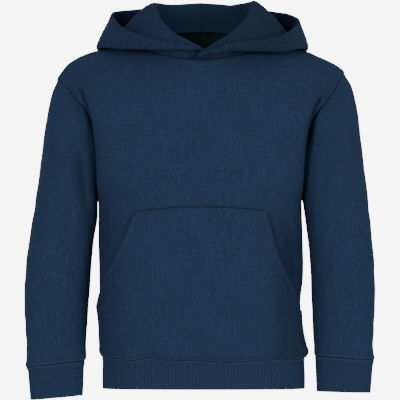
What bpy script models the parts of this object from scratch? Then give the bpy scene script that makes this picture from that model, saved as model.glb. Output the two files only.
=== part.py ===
"""Toddler hoodie for 3 to 4 years, filled out as worn, with nobody in it.

Frame: metres, +Z up. The front faces -Y and the wearer's left is +X. The origin lies on the centre line,
level with the points where the shoulder seams reach the neck. Each cut piece is a thin wall of its own.
"""

import bmesh
import bpy
import numpy as np

MM = 0.001
FLEECE = 2.0 * MM  # thickness of the body cloth
RIB = 3.0 * MM  # folded rib of the cuffs and the waistband
HOOD_LAYER = 1.5 * MM  # each of the hood's two layers
SEAM_SHIFT = 0.2 * MM  # of each piece's edge, away from the piece it is sewn to
FOLD_LIMIT = 0.25  # how far two sewn pieces turn towards each other before their walls need no mitre
LAYER_GAP = 0.8 * MM  # between the hood's two layers
COLUMNS = 9  # across half of a panel, from the centre to the side
ROWS_BELOW = 11  # of a panel, from the waist seam to the underarm
ROWS_ABOVE = 9  # from the underarm to the shoulder
SLEEVE_ROWS = 15
HOOD_COLUMNS = 13
POCKET_COLUMNS = 12
POCKET_ROWS = 10
FRONT, BACK = -1, 1
RIGHT, LEFT = -1, 1  # the wearer's

NAVY = (0.018, 0.042, 0.085, 1.0)
NAVY_RIB = (0.020, 0.044, 0.088, 1.0)
NAVY_LINING = (0.014, 0.034, 0.078, 1.0)


def table(columns, rows):
    """Rows of millimetres as named columns in metres."""
    return dict(zip(columns.split(), np.array(rows, float).T * MM))


# Level sections of the body: how far it reaches to the wearer's right and left, to the front and to the back.
BODY = table("height right left front back", [
    (-390, -125.0, 132.5, -83, 79.5),
    (-384, -127.4, 135.4, -85.6, 82.5),
    (-374, -127.0, 132.6, -88, 85),
    (-352, -126.0, 128.2, -90, 87),
    (-320, -128.0, 127.2, -91, 88),
    (-290, -128.2, 128.6, -91.5, 88),
    (-241, -128.6, 128.8, -92, 88),
    (-190, -129.6, 128.7, -91.5, 88.5),
    (-150, -132.0, 131.0, -90, 88.5),
    (-120, -133.5, 133.5, -88, 87.5),
    (-84, -137.5, 139.5, -84.5, 84),
])
# Armhole seam in front, from the underarm to the shoulder point.
ARMHOLE_FRONT = table("right right_height left left_height depth", [
    (-129.6, -190, 128.7, -190, 0),
    (-130.3, -182, 129.5, -182, -17),
    (-131.5, -163, 130.5, -163, -30),
    (-132.5, -138, 131.8, -138, -36),
    (-134.5, -112, 134.5, -114, -39),
    (-138.5, -90, 140.0, -92, -40),
    (-146.0, -74.5, 149.0, -77, -37),
    (-158.0, -62, 160.0, -66, -29),
    (-171.0, -46, 172.0, -47, -14),
    (-180.2, -33.0, 181.8, -26, 4),
])
ARMHOLE_BACK = table("right right_height left left_height depth", [
    (-129.6, -190, 128.7, -190, 0),
    (-130.6, -181, 130.5, -181, 18),
    (-133.0, -162, 133.0, -162, 32),
    (-136.5, -136, 137.0, -136, 40),
    (-142.0, -108, 143.0, -108, 44),
    (-150.0, -84, 151.5, -84, 43),
    (-160.0, -64, 162.0, -64, 36),
    (-171.0, -46, 173.0, -45, 21),
    (-180.2, -33.0, 181.8, -26, 4),
])
# Shoulder seam from the neck point outwards.
SHOULDER = table("right right_height left left_height depth", [
    (-78.0, 6.0, 78.0, 6.0, 0),
    (-105.0, 4.0, 106.0, 3.5, 1),
    (-133.4, -1.3, 135.8, -2.3, 2),
    (-149.4, -6.7, 148.4, -7.6, 3),
    (-160.8, -12.5, 159.4, -12.4, 3.5),
    (-170.6, -20.0, 171.6, -18.4, 4),
    (-180.2, -33.0, 181.8, -26.0, 4),
])
# Heights of the neck seam at these turns round the neck, 0 at the centre front and 180 at the centre back.
NECK_TURNS = (-40, 0, 40, 65, 90, 135, 180, 225)
NECK_HEIGHTS = np.array((-6.5, -13, -6.5, 0, 6, 18.5, 25, 18.5)) * MM
NECK_WIDTH = 156 * MM
NECK_FRONT = -60 * MM
NECK_BACK = 58 * MM
NECK_SHARE = 0.4  # of a panel's half width, taken by the neck
CREASE_TOP = 0.6  # share of the armhole's length where the fold beside the body ends
CHEST_HEIGHT = -95 * MM  # of the panels' middle, level with the end of that fold
PANEL_FULLNESS = 2.5  # 2 is an ellipse, more is squarer
SLEEVE_FULLNESS = 2.15

# Sleeve sections: their outer and inner ends seen from the front, their half depth and the place of their middle.
SLEEVE = {
    RIGHT: table("outer outer_height inner inner_height depth middle", [
        (-180.2, -33.0, -129.6, -190, 44, 4),
        (-188.2, -50, -131.8, -196, 48, 4),
        (-194.6, -82, -132.8, -204, 51, 4),
        (-198.6, -110, -133.6, -216, 51, 5),
        (-203.6, -150, -135.0, -235, 49, 6),
        (-209.6, -190, -137.4, -256, 46, 7),
        (-217.3, -241, -139.4, -284, 42, 7),
        (-222.4, -282, -141.4, -308, 39, 4),
        (-223.3, -326, -143.6, -336, 35, -1),
        (-222.0, -352, -144.8, -357, 32, -5),
        (-221.0, -375, -145.6, -376, 29, -8),
        (-220.6, -390, -145.4, -387, 27, -10),
        (-218.4, -400, -146.8, -394, 24, -11),
    ]),
    LEFT: table("outer outer_height inner inner_height depth middle", [
        (181.8, -26, 128.7, -190, 44, 4),
        (191.4, -42, 131.0, -196, 48, 4),
        (198.2, -70, 132.2, -205, 51, 4),
        (201.8, -98, 134.0, -218, 51, 5),
        (207.2, -143, 136.2, -236, 49, 6),
        (213.0, -190, 138.8, -256, 46, 7),
        (217.8, -241, 140.2, -282, 42, 7),
        (221.0, -280, 141.0, -306, 39, 4),
        (221.4, -322, 142.0, -332, 35, -1),
        (220.0, -350, 143.2, -354, 32, -5),
        (219.4, -370, 144.0, -371, 29, -8),
        (220.6, -381, 144.4, -381, 27, -10),
        (219.2, -392, 145.4, -388, 24, -11),
    ]),
}
SEAM_REACH = 0.22  # share of the sleeve's length over which it leaves the armhole's own shape
CUFF = {
    RIGHT: table("outer outer_height inner inner_height depth middle", [
        (-219.0, -408, -147.6, -402, 22, -11.5),
        (-217.6, -425, -148.2, -420, 21, -12),
        (-215.8, -444.4, -149.0, -438.4, 21, -12),
    ]),
    LEFT: table("outer outer_height inner inner_height depth middle", [
        (218.8, -400, 145.6, -396, 22, -11.5),
        (217.4, -417, 146.2, -414, 21, -12),
        (216.0, -435.2, 147.2, -433.4, 21, -12),
    ]),
}
WAISTBAND = table("height right left front back", [
    (-394, -124.2, 131.8, -82.2, 78.7),
    (-412, -124.8, 132.8, -81.6, 78),
    (-430, -124.6, 132.8, -81, 77.5),
])

# Slanted openings of the pocket: how far out each edge lies at these heights.
POCKET_EDGE = {
    RIGHT: table("height reach", [
        (-332, -128.4), (-326, -127.6), (-314, -125.5), (-300, -123.5), (-288, -120.5), (-281, -113.1), (-274, -107),
        (-265, -102.1), (-255, -97.3), (-234, -88.1), (-220, -83.7), (-205, -80.6),
    ]),
    LEFT: table("height reach", [
        (-332, 127.2), (-322, 123.4), (-310, 118.6), (-298, 113.5), (-285, 108.5), (-271, 103), (-259, 98.7),
        (-247, 94.5), (-234, 91), (-220, 88.2), (-205, 83.4),
    ]),
}
POCKET_TOP = {RIGHT: -206 * MM, 0: -199.5 * MM, LEFT: -205 * MM}
POCKET_CLEARANCE = 2.0 * MM
POCKET_SIDE = 0.985  # share of the panel's half width at which the pocket stops, short of the side seam
POCKET_HOLLOW = 9.2 * MM  # most room behind the middle of the pocket
OPENING_HOLLOW = 6 * MM  # most room behind its slanted edges

# Hood sections round the neck. Each runs up from the neck seam to the top fold, turns out and down to the
# bottom roll and up again to the free edge. Places are given as reach from the centre, depth and height.
HOOD_COLUMNS_OF = "tuck top top_depth top_height roll roll_depth roll_height edge edge_depth edge_height soft"
HOOD_TURNS = {
    RIGHT: (-9, 1, 10.5, 25, 43, 64, 88, 117, 143, 164, 180),
    LEFT: (-5, 5.5, 15, 29, 44, 64, 88, 117, 143, 164, 180),
}
HOOD = {
    RIGHT: table(HOOD_COLUMNS_OF, [
        (6.5, -8, -54, -4, -8, -55.5, -3, -8, -57, -2, 2),
        (6.5, 1, -55.5, 2, 2, -60, 0, 3, -63.5, 3, 2),
        (4.5, 14.5, -56.5, 9, 17, -67, 0.5, 19.5, -72, 5.5, 2.5),
        (0.5, 31, -55, 16.5, 37, -71.5, 0.5, 42, -77, 9, 3),
        (0, 47.5, -46, 32.5, 68, -65, 1, 70, -70, 15.5, 3.5),
        (0, 57.5, -30, 50, 99, -44, 2, 98.5, -45, 27.5, 4),
        (0, 60.5, -6, 57.5, 128, -6, 5, 111.5, 2, 45.5, 4.5),
        (0, 53, 36, 59.5, 117, 52, -12, 102, 57, 50.5, 5),
        (0, 36, 62, 58, 90, 86, -60, 70, 86, 55, 5),
        (0, 17, 72, 58, 48, 99, -100, 34, 96, 60, 5),
        (0, 0, 75, 58, 0, 102, -116, 0, 99, 62.4, 5),
    ]),
    LEFT: table(HOOD_COLUMNS_OF, [
        (0, -4, -64, -8.5, -3, -69, -9.5, -1.5, -73, -7.5, 2),
        (0, 7, -64.5, -1, 8.5, -71.5, -6, 10, -76, -2.5, 2),
        (0, 20, -62, 8, 23.5, -73.5, -3, 27, -78, 4, 2.5),
        (0, 36.5, -55.5, 18, 44, -71, -1, 49, -76.5, 9, 3),
        (0, 52, -46, 30, 74, -64, -1.5, 77, -69, 12, 3.5),
        (0, 63.5, -30, 46.5, 104, -46, -1, 106.5, -47, 19, 4),
        (0, 68, -8, 60.4, 132.4, -7, 4.6, 124.5, -3, 36, 4.5),
        (0, 62.5, 34, 61, 123, 50, -12, 114, 54, 46, 5),
        (0, 40, 62, 56.5, 93, 86, -60, 78, 85, 53, 5),
        (0, 18.5, 72, 56.5, 49, 99, -100, 36, 96, 59.6, 5),
        (0, 0, 75, 58, 0, 102, -116, 0, 99, 62.4, 5),
    ]),
}
HOOD_LIFT = 0.8 * MM  # of the hood's lower edge above the neck seam


def curve(knots, values, at):
    """Smooth curve through rows of values at rising knots, read at any places."""
    knots = np.asarray(knots, float)
    values = np.asarray(values, float)
    at = np.asarray(at, float)
    steps = np.diff(knots)[:, None]
    rates = np.diff(values, axis=0) / steps
    inner = (rates[1:] * steps[:-1] + rates[:-1] * steps[1:]) / (steps[1:] + steps[:-1])
    slopes = np.concatenate([rates[:1], inner, rates[-1:]])
    span = np.clip(np.searchsorted(knots, at, side="right") - 1, 0, len(steps) - 1)
    width = steps[span]
    part = ((at - knots[span])[..., None]) / width
    return hermite(values[span], slopes[span] * width, values[span + 1], slopes[span + 1] * width, part)


def hermite(start, leaving, end, arriving, part):
    """Cubic from start to end with these tangents, read at a share of its way."""
    return (
        start * (2 * part**3 - 3 * part**2 + 1)
        + leaving * (part**3 - 2 * part**2 + part)
        + end * (3 * part**2 - 2 * part**3)
        + arriving * (part**3 - part**2)
    )


def even_curve(points, share):
    """The smooth curve through points, read at shares of its length."""
    knots = np.arange(len(points))
    fine = np.linspace(0, len(points) - 1, 40 * len(points))
    lengths = np.linalg.norm(np.diff(curve(knots, points, fine), axis=0), axis=1)
    travelled = np.concatenate([[0], np.cumsum(lengths)])
    return curve(knots, points, np.interp(share, travelled / travelled[-1], fine))


def unit(vectors):
    return vectors / np.maximum(np.linalg.norm(vectors, axis=-1, keepdims=True), 1e-12)


def ease(share):
    """0 to 1 with level ends."""
    share = np.clip(share, 0, 1)
    return share * share * (3 - 2 * share)


def side_name(side):
    return "left" if side == LEFT else "right"


def line_of(rows, side):
    """A side's points of a table with a column of reaches and of heights for each side and one of depths."""
    name = side_name(side)
    return np.stack([rows[name], rows["depth"], rows[name + "_height"]], axis=-1)


def read(rows, height, columns):
    """Columns of a table of level sections at a height."""
    order = np.argsort(rows["height"])
    values = np.stack([rows[column][order] for column in columns.split()], axis=-1)
    return curve(rows["height"][order], values, height)


def rounded(share, fullness):
    """How far across and how far out a rounded quarter section reaches, from its middle (0) to its side (1)."""
    angle = np.abs(share) * np.pi / 2
    reach = (np.sin(angle) ** fullness + np.cos(angle) ** fullness) ** (-1 / fullness)
    return reach * np.sin(angle), reach * np.cos(angle)


def neck(turn):
    """Point of the neck seam, for turns in degrees towards either side."""
    angle = np.radians(turn)
    deep = np.where(np.cos(angle) > 0, -NECK_FRONT, NECK_BACK)
    height = curve(NECK_TURNS, NECK_HEIGHTS[:, None], turn)[..., 0]
    return np.stack([np.sin(angle) * NECK_WIDTH / 2, -np.cos(angle) * deep, height], axis=-1)


def top_edge(face, share, side):
    """Upper edge of half a panel: half of the neck seam, then the shoulder seam."""
    turn = 90 * share / NECK_SHARE
    around = neck(np.clip(turn if face == FRONT else 180 - turn, 0, 180))
    around[..., 0] *= side
    seam = even_curve(line_of(SHOULDER, side), np.clip((share - NECK_SHARE) / (1 - NECK_SHARE), 0, 1))
    return np.where((share < NECK_SHARE)[..., None], around, seam)


def arm_edge(face, side, share):
    return even_curve(line_of(ARMHOLE_FRONT if face == FRONT else ARMHOLE_BACK, side), share)


def level_row(face, share, side, height):
    """Half a row of a panel below the underarm."""
    across, out = rounded(share, PANEL_FULLNESS)
    reach, depth = read(BODY, height, side_name(side) + (" front" if face == FRONT else " back")).T
    return np.stack([reach * across, depth * out, np.broadcast_to(height, across.shape)], axis=-1)


def chest_row(face, share, side, rise):
    """Half a row between the underarm (rise 0) and the end of the fold beside the body (rise CREASE_TOP)."""
    across, out = rounded(share, PANEL_FULLNESS)
    edge = arm_edge(face, side, rise)
    underarm = BODY["height"][7]
    height = underarm + (CHEST_HEIGHT - underarm) * rise / CREASE_TOP
    depth = read(BODY, height, "front" if face == FRONT else "back")[..., 0]
    middle = np.cos(np.abs(share) * np.pi / 2) ** 2
    return np.stack([
        edge[..., 0] * across,
        edge[..., 1] + (depth - edge[..., 1]) * out,
        edge[..., 2] + (height - edge[..., 2]) * middle,
    ], axis=-1)


def chest_to_top(face, share, side, rise):
    """Columns that leave the chest row as it runs and arrive level over the shoulder, or leaning at the neck."""
    start = chest_row(face, share, side, np.full_like(share, CREASE_TOP))
    before = chest_row(face, share, side, np.full_like(share, CREASE_TOP - 0.01))
    leaving = (start - before) / 0.01 * (1 - CREASE_TOP)
    end = top_edge(face, share, side)
    over = ease(share / NECK_SHARE)
    arrival = np.stack([0 * over, -face * (0.5 + 0.5 * over), 0.87 * (1 - over) - 0.1 * over], axis=-1)
    arriving = unit(arrival) * np.linalg.norm(end - start, axis=-1, keepdims=True) * 1.15
    return hermite(start, leaving, end, arriving, ((rise - CREASE_TOP) / (1 - CREASE_TOP))[..., None])


def yoke_row(face, share, side, rise):
    """Half a row from the chest up to the neck and shoulder seams (rise 1), drawn to the armhole at its side."""
    pull = arm_edge(face, side, rise) - chest_to_top(face, np.ones_like(share), side, rise)
    return chest_to_top(face, share, side, rise) + pull * ease((share - 0.45) / 0.55)[..., None]


def panel(face, across, up):
    """Outer face of the front or back panel. across runs from -1 at the wearer's right side to 1 at the left,
    and up from 0 at the waist seam through 1 at the underarm to 2 at the shoulders."""
    across, up = np.broadcast_arrays(np.asarray(across, float), np.asarray(up, float))
    share = np.abs(across)
    points = np.zeros(across.shape + (3,))
    waist, underarm = BODY["height"][0], BODY["height"][7]
    for side in (RIGHT, LEFT):
        here = (across < 0) if side == RIGHT else (across >= 0)
        for low, high, row in ((-1, 1, level_row), (1, 1 + CREASE_TOP, chest_row), (1 + CREASE_TOP, 3, yoke_row)):
            some = here & (up > low) & (up <= high)
            if some.any():
                place = waist + (underarm - waist) * up[some] if row is level_row else up[some] - 1
                points[some] = row(face, share[some], side, place)
    return points


def ring_points(sections, step, around, fullness):
    """Rings of a sleeve or cuff. around runs from 0 underneath, over the front, 1 on top and back to 2."""
    names = "outer outer_height inner inner_height depth middle"
    values = np.stack([sections[name] for name in names.split()], axis=-1)
    outer, outer_height, inner, inner_height, depth, middle = np.moveaxis(
        curve(np.arange(len(values)), values, step), -1, 0
    )
    angle = np.pi * around
    reach = (np.abs(np.sin(angle)) ** fullness + np.abs(np.cos(angle)) ** fullness) ** (-1 / fullness)
    along, out = reach * np.cos(angle), reach * np.sin(angle)
    return np.stack([
        (outer + inner) / 2 - (outer - inner) / 2 * along,
        middle - depth * out,
        (outer_height + inner_height) / 2 - (outer_height - inner_height) / 2 * along,
    ], axis=-1)


def sleeve(side, down, around):
    """Outer face of a sleeve. down runs from 0 at the armhole to 1 at the cuff seam."""
    down, around = np.broadcast_arrays(np.asarray(down, float), np.asarray(around, float))
    sections = SLEEVE[side]
    last = len(sections["outer"]) - 1
    points = ring_points(sections, down * last, around, SLEEVE_FULLNESS)
    start = ring_points(sections, 0 * down, around, SLEEVE_FULLNESS)
    seam = np.where(
        (around <= 1)[..., None],
        arm_edge(FRONT, side, np.clip(around, 0, 1)),
        arm_edge(BACK, side, np.clip(2 - around, 0, 1)),
    )
    left_over = np.clip(1 - down / SEAM_REACH, 0, 1)[..., None] ** 2
    return points + (seam - start) * left_over


def cuff(side, down, around):
    """Outer face of a cuff. down runs from 0 at its seam to 1 at its open end."""
    last = {name: column[-1:] for name, column in SLEEVE[side].items()}
    sections = {name: np.concatenate([last[name], column]) for name, column in CUFF[side].items()}
    down, around = np.broadcast_arrays(np.asarray(down, float), np.asarray(around, float))
    return ring_points(sections, down * 3, around, SLEEVE_FULLNESS)


def waistband(down, around):
    """Outer face of the waistband. around runs over the front from -1 to 1 and over the back from 1 to 3."""
    down, around = np.broadcast_arrays(np.asarray(down, float), np.asarray(around, float))
    seam = {name: BODY[name][:1] for name in BODY}
    rows = {name: np.concatenate([seam[name], WAISTBAND[name]]) for name in BODY}
    names = "height right left front back"
    values = np.stack([rows[name] for name in names.split()], axis=-1)
    height, right, left, front, back = np.moveaxis(curve(np.arange(4), values, down * 3), -1, 0)
    place = np.where(around <= 1, around, 2 - around)
    across, out = rounded(place, PANEL_FULLNESS)
    return np.stack([
        np.where(place < 0, right, left) * across,
        np.where(around <= 1, front, back) * out,
        height,
    ], axis=-1)


def pocket(along, up):
    """Where the pocket lies on the front panel: the panel's own coordinates, and how far out it stands.
    along runs from -1 to 1 between its side edges, and up from 0 at the waist seam to 1 at its top seam."""
    along, up = np.broadcast_arrays(np.asarray(along, float), np.asarray(up, float))
    waist, underarm = BODY["height"][0], BODY["height"][7]
    side_top = np.where(along < 0, POCKET_TOP[RIGHT], POCKET_TOP[LEFT])
    top = POCKET_TOP[0] + (side_top - POCKET_TOP[0]) * np.abs(along) ** 2.2
    height = waist + (top - waist) * up
    shares = np.linspace(0, 1, 200)
    reach_of_share = rounded(shares, PANEL_FULLNESS)[0]
    across = np.zeros_like(height)
    rise_of_opening = np.zeros_like(height)
    for side in (RIGHT, LEFT):
        here = (along < 0) if side == RIGHT else (along >= 0)
        edge = POCKET_EDGE[side]
        row_height = waist + (POCKET_TOP[side] - waist) * up[here]
        full = np.abs(read(BODY, row_height, side_name(side))[..., 0])
        drawn = np.abs(curve(edge["height"], edge["reach"][:, None], np.maximum(row_height, edge["height"][0])))[..., 0]
        limit = np.where(row_height <= edge["height"][0], 1, np.minimum(drawn / full, 1))
        across[here] = side * np.interp(limit, reach_of_share, shares) * np.abs(along[here])
        foot = edge["height"][0]
        rise_of_opening[here] = np.clip((row_height - foot) / (POCKET_TOP[side] - foot), 0, 1)
    across = np.clip(across, -POCKET_SIDE, POCKET_SIDE)
    middle = np.sin(np.pi * np.clip(up, 0, 1)) ** 0.7 * POCKET_HOLLOW
    mouth = np.sin(np.pi * rise_of_opening**1.9) * OPENING_HOLLOW
    near_edge = np.abs(along) ** 4
    out = POCKET_CLEARANCE + middle * (1 - near_edge) + mouth * near_edge
    return across, (height - waist) / (underarm - waist), out


def hood(side, around, up):
    """Middle of the hood's cloth. around runs from 0 at the centre front to 1 at the centre back, and up from 0
    at the neck seam through 1 at the top fold and 2 at the bottom roll to 3 at the free edge."""
    around, up = np.broadcast_arrays(np.asarray(around, float), np.asarray(up, float))
    rows = HOOD[side]
    names = HOOD_COLUMNS_OF.split()
    values = np.stack([rows[name] for name in names] + [np.array(HOOD_TURNS[side]) * MM], axis=-1)
    last = len(values) - 1
    found = dict(zip(names + ["turn"], np.moveaxis(curve(np.arange(last + 1), values, around * last), -1, 0)))
    seam = neck(found["turn"] / MM)
    inwards = unit(seam * np.array([1, 1, 0]))
    seam = seam - inwards * found["tuck"][..., None]
    seam[..., 2] += HOOD_LIFT
    top, roll, edge = (
        np.stack([found[name], found[name + "_depth"], found[name + "_height"]], axis=-1)
        for name in ("top", "roll", "edge")
    )
    outwards = unit((roll - seam) * np.array([1, 1, 0]))
    soft = found["soft"][..., None]
    rise = np.linalg.norm(top - seam, axis=-1, keepdims=True)
    fall = np.linalg.norm(roll - top, axis=-1, keepdims=True)
    back = np.linalg.norm(edge - roll, axis=-1, keepdims=True)
    stand = hermite(seam, top - seam, top, outwards * np.sqrt(4 * rise * soft), up[..., None])
    turned = outwards * np.sqrt(6 * fall * soft)
    outer = hermite(roll, outwards * np.sqrt(4 * back * soft), edge, edge - roll, up[..., None] - 2)
    inner = hermite(top, turned, roll, turned, up[..., None] - 1)
    points = np.where((up <= 1)[..., None], stand, np.where((up <= 2)[..., None], inner, outer))
    points[..., 0] *= side
    return points


def grid_normals(grid, tube, turn):
    """Unit normals at a grid's points, from its triangles. A tube's last column is its first."""
    sums = np.zeros_like(grid)
    corners = grid[:-1, :-1], grid[:-1, 1:], grid[1:, 1:], grid[1:, :-1]
    faces = np.cross(corners[2] - corners[0], corners[3] - corners[1]) * turn
    first, second = slice(0, -1), slice(1, None)
    for rows, columns in ((first, first), (first, second), (second, second), (second, first)):
        sums[rows, columns] += faces
    if tube:
        sums[:, 0] = sums[:, -1] = sums[:, 0] + sums[:, -1]
    return sums


def seam_key(point):
    return tuple(np.round(point / (0.01 * MM)).astype(int))


def border_cells(rows, columns, tube):
    """Each place on a grid's border, with its neighbours along the border and those just inside."""
    last_row, last_column = rows - 1, columns - 1
    for row in range(rows):
        for column in range(columns - tube):
            along, inside = [], []
            if row in (0, last_row):
                inner = 1 if row == 0 else last_row - 1
                before = last_column - 1 if tube and column == 0 else column - 1
                along += [(row, beside) for beside in (before, column + 1) if 0 <= beside <= last_column]
                inside += [(inner, beside) for beside in (before, column, column + 1) if 0 <= beside <= last_column]
            if not tube and column in (0, last_column):
                inner = 1 if column == 0 else last_column - 1
                along += [(beside, column) for beside in (row - 1, row + 1) if 0 <= beside <= last_row]
                inside += [(beside, inner) for beside in (row - 1, row, row + 1) if 0 <= beside <= last_row]
            if inside:
                yield (row, column), along, inside


def seam_places(name, sheet):
    """Border points of a sheet, each with its normal and the direction that leads into the sheet."""
    grid, normals = sheet["grid"], sheet["normals"]
    for cell, along, inside in border_cells(*grid.shape[:2], sheet["tube"]):
        normal = unit(normals[cell])
        inward = unit(sum(grid[place] for place in inside) / len(inside) - grid[cell])
        if len(along) == 2:
            tangent = unit(grid[along[1]] - grid[along[0]])
            inward = inward - tangent * (inward @ tangent)
        inward = unit(inward - normal * (inward @ normal))
        yield seam_key(grid[cell]), {"sheet": name, "cell": cell, "normal": normal, "inward": inward}


def join_seams(sheets):
    """Moves sheets apart by the seam's gap where they meet, and mitres their walls there. Where they turn
    towards each other, as under the arm, each wall keeps its own normal and the fold needs no mitre."""
    meeting = {}
    for name, sheet in sheets.items():
        sheet["normals"] = grid_normals(sheet["grid"], sheet["tube"], sheet["turn"])
        for key, place in seam_places(name, sheet):
            meeting.setdefault(key, []).append(place)
    for sheet in sheets.values():
        sheet["normals"] = unit(sheet["normals"])
        sheet["grid"] = sheet["grid"].copy()
    for places in meeting.values():
        if len({place["sheet"] for place in places}) < 2:
            continue
        shared = unit(sum(place["normal"] - place["inward"] for place in places))
        for place in places:
            others = [other for other in places if other["sheet"] != place["sheet"]]
            inward = sum(other["inward"] for other in others) / len(others)
            normal = sum(other["normal"] for other in others) / len(others)
            fold_depth = place["normal"] @ inward
            apart = unit(place["inward"] - inward + np.sign(fold_depth) * (normal - place["normal"]))
            sheet = sheets[place["sheet"]]
            row, column = place["cell"]
            cells = [(row, column)]
            if sheet["tube"] and column == 0:
                cells.append((row, sheet["grid"].shape[1] - 1))
            for cell in cells:
                sheet["grid"][cell] += apart * SEAM_SHIFT
                sheet["normals"][cell] = place["normal"] if fold_depth > FOLD_LIMIT else shared


def wall(name, grid, normals, tube, low, high, material):
    """A closed wall between two offsets of a grid, as an object of its own."""
    rows, columns = grid.shape[:2]
    used = columns - 1 if tube else columns
    mesh = bmesh.new()
    layers = []
    for offset in (high, low):
        points = (grid + normals * offset)[:, :used]
        layers.append([[mesh.verts.new(point) for point in row] for row in points])
    for row in range(rows - 1):
        for column in range(columns - 1):
            beside = (column + 1) % used
            for layer in layers:
                a, b = layer[row][column], layer[row][beside]
                c, d = layer[row + 1][beside], layer[row + 1][column]
                mesh.faces.new((a, b, c))
                mesh.faces.new((a, c, d))
    outer, inner = layers
    for row in (0, rows - 1):
        for column in range(columns - 1):
            beside = (column + 1) % used
            mesh.faces.new((outer[row][column], outer[row][beside], inner[row][beside], inner[row][column]))
    if not tube:
        for column in (0, columns - 1):
            for row in range(rows - 1):
                above = row + 1
                mesh.faces.new((outer[row][column], outer[above][column], inner[above][column], inner[row][column]))
    bmesh.ops.recalc_face_normals(mesh, faces=mesh.faces)
    data = bpy.data.meshes.new(name)
    mesh.to_mesh(data)
    mesh.free()
    data.materials.append(material)
    data.shade_smooth()
    made = bpy.data.objects.new(name, data)
    bpy.context.scene.collection.objects.link(made)
    return made


def cloth_material(name, colour, roughness):
    material = bpy.data.materials.new(name)
    material.use_nodes = True
    shader = material.node_tree.nodes["Principled BSDF"]
    shader.inputs["Base Color"].default_value = colour
    shader.inputs["Roughness"].default_value = roughness
    shader.inputs["Metallic"].default_value = 0.0
    return material


def sheet(grid, turn, tube=False):
    return {"grid": grid, "turn": turn, "tube": tube}


def body_sheets():
    """Panels, sleeves, cuffs and waistband, whose edges are the same points where they are sewn."""
    across = np.linspace(-1, 1, 2 * COLUMNS + 1)
    up = np.concatenate([np.linspace(0, 1, ROWS_BELOW + 1), 1 + np.linspace(0, 1, ROWS_ABOVE + 1)[1:]])
    around_arm = np.linspace(0, 2, 2 * ROWS_ABOVE + 1)
    around_waist = np.concatenate([across, across[1:] + 2])
    sheets = {
        "front_panel": sheet(panel(FRONT, across[None, :], up[:, None]), 1),
        "back_panel": sheet(panel(BACK, across[None, :], up[:, None]), -1),
        "waistband": sheet(waistband(np.array([0, 0.3, 1])[:, None], around_waist[None, :]), -1, tube=True),
    }
    down = np.linspace(0, 1, SLEEVE_ROWS + 1) ** 1.15
    for side in (RIGHT, LEFT):
        turn = -side
        sheets["sleeve_" + side_name(side)] = sheet(sleeve(side, down[:, None], around_arm[None, :]), turn, tube=True)
        rings = np.array([0, 0.3, 1])
        sheets["cuff_" + side_name(side)] = sheet(cuff(side, rings[:, None], around_arm[None, :]), turn, tube=True)
    return sheets


def pocket_sheet():
    along = np.linspace(-1, 1, POCKET_COLUMNS + 1)
    up = np.linspace(0.006, 1, POCKET_ROWS + 1)
    across, rise, out = pocket(along[None, :], up[:, None])
    step = 0.002
    base = panel(FRONT, across, rise)
    ahead = panel(FRONT, np.clip(across + step, -1, 1), rise) - panel(FRONT, np.clip(across - step, -1, 1), rise)
    above = panel(FRONT, across, rise + step) - panel(FRONT, across, rise - step)
    normals = unit(np.cross(ahead, above))
    return base + normals * out[..., None], normals


def hood_sheets():
    around = np.linspace(0, 1, HOOD_COLUMNS + 1)
    up = np.array([0, 0.55, 0.88, 1.0, 1.14, 1.5, 1.84, 1.94, 2.0, 2.05, 2.25, 3.0])
    sheets = {}
    for side in (RIGHT, LEFT):
        sheets["hood_" + side_name(side)] = sheet(hood(side, around[None, :], up[:, None]), side)
    return sheets


def main():
    for old in list(bpy.data.objects):
        bpy.data.objects.remove(old, do_unlink=True)
    fleece = cloth_material("navy_fleece", NAVY, 0.92)
    rib = cloth_material("navy_rib", NAVY_RIB, 0.9)
    lining = cloth_material("navy_lining", NAVY_LINING, 0.95)
    sheets = body_sheets()
    join_seams(sheets)
    for name, piece in sheets.items():
        ribbed = name.startswith(("cuff", "waist"))
        thickness, material = (RIB, rib) if ribbed else (FLEECE, fleece)
        wall(name, piece["grid"], piece["normals"], piece["tube"], -thickness, 0, material)
    grid, normals = pocket_sheet()
    wall("kangaroo_pocket", grid, normals, False, 0, FLEECE, fleece)
    halves = hood_sheets()
    join_seams(halves)
    for name, piece in halves.items():
        side = name.split("_")[1]
        near, far = LAYER_GAP / 2, LAYER_GAP / 2 + HOOD_LAYER
        wall("hood_outer_" + side, piece["grid"], piece["normals"], False, near, far, fleece)
        wall("hood_lining_" + side, piece["grid"], piece["normals"], False, -far, -near, lining)


main()
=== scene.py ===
"""Toddler hoodie in navy sweatshirt cloth: the finished cloth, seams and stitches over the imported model.

Frame: metres, +Z up. The front faces -Y and the wearer's left is +X. The origin lies on the centre line,
level with the points where the shoulder seams reach the neck.
"""

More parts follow.
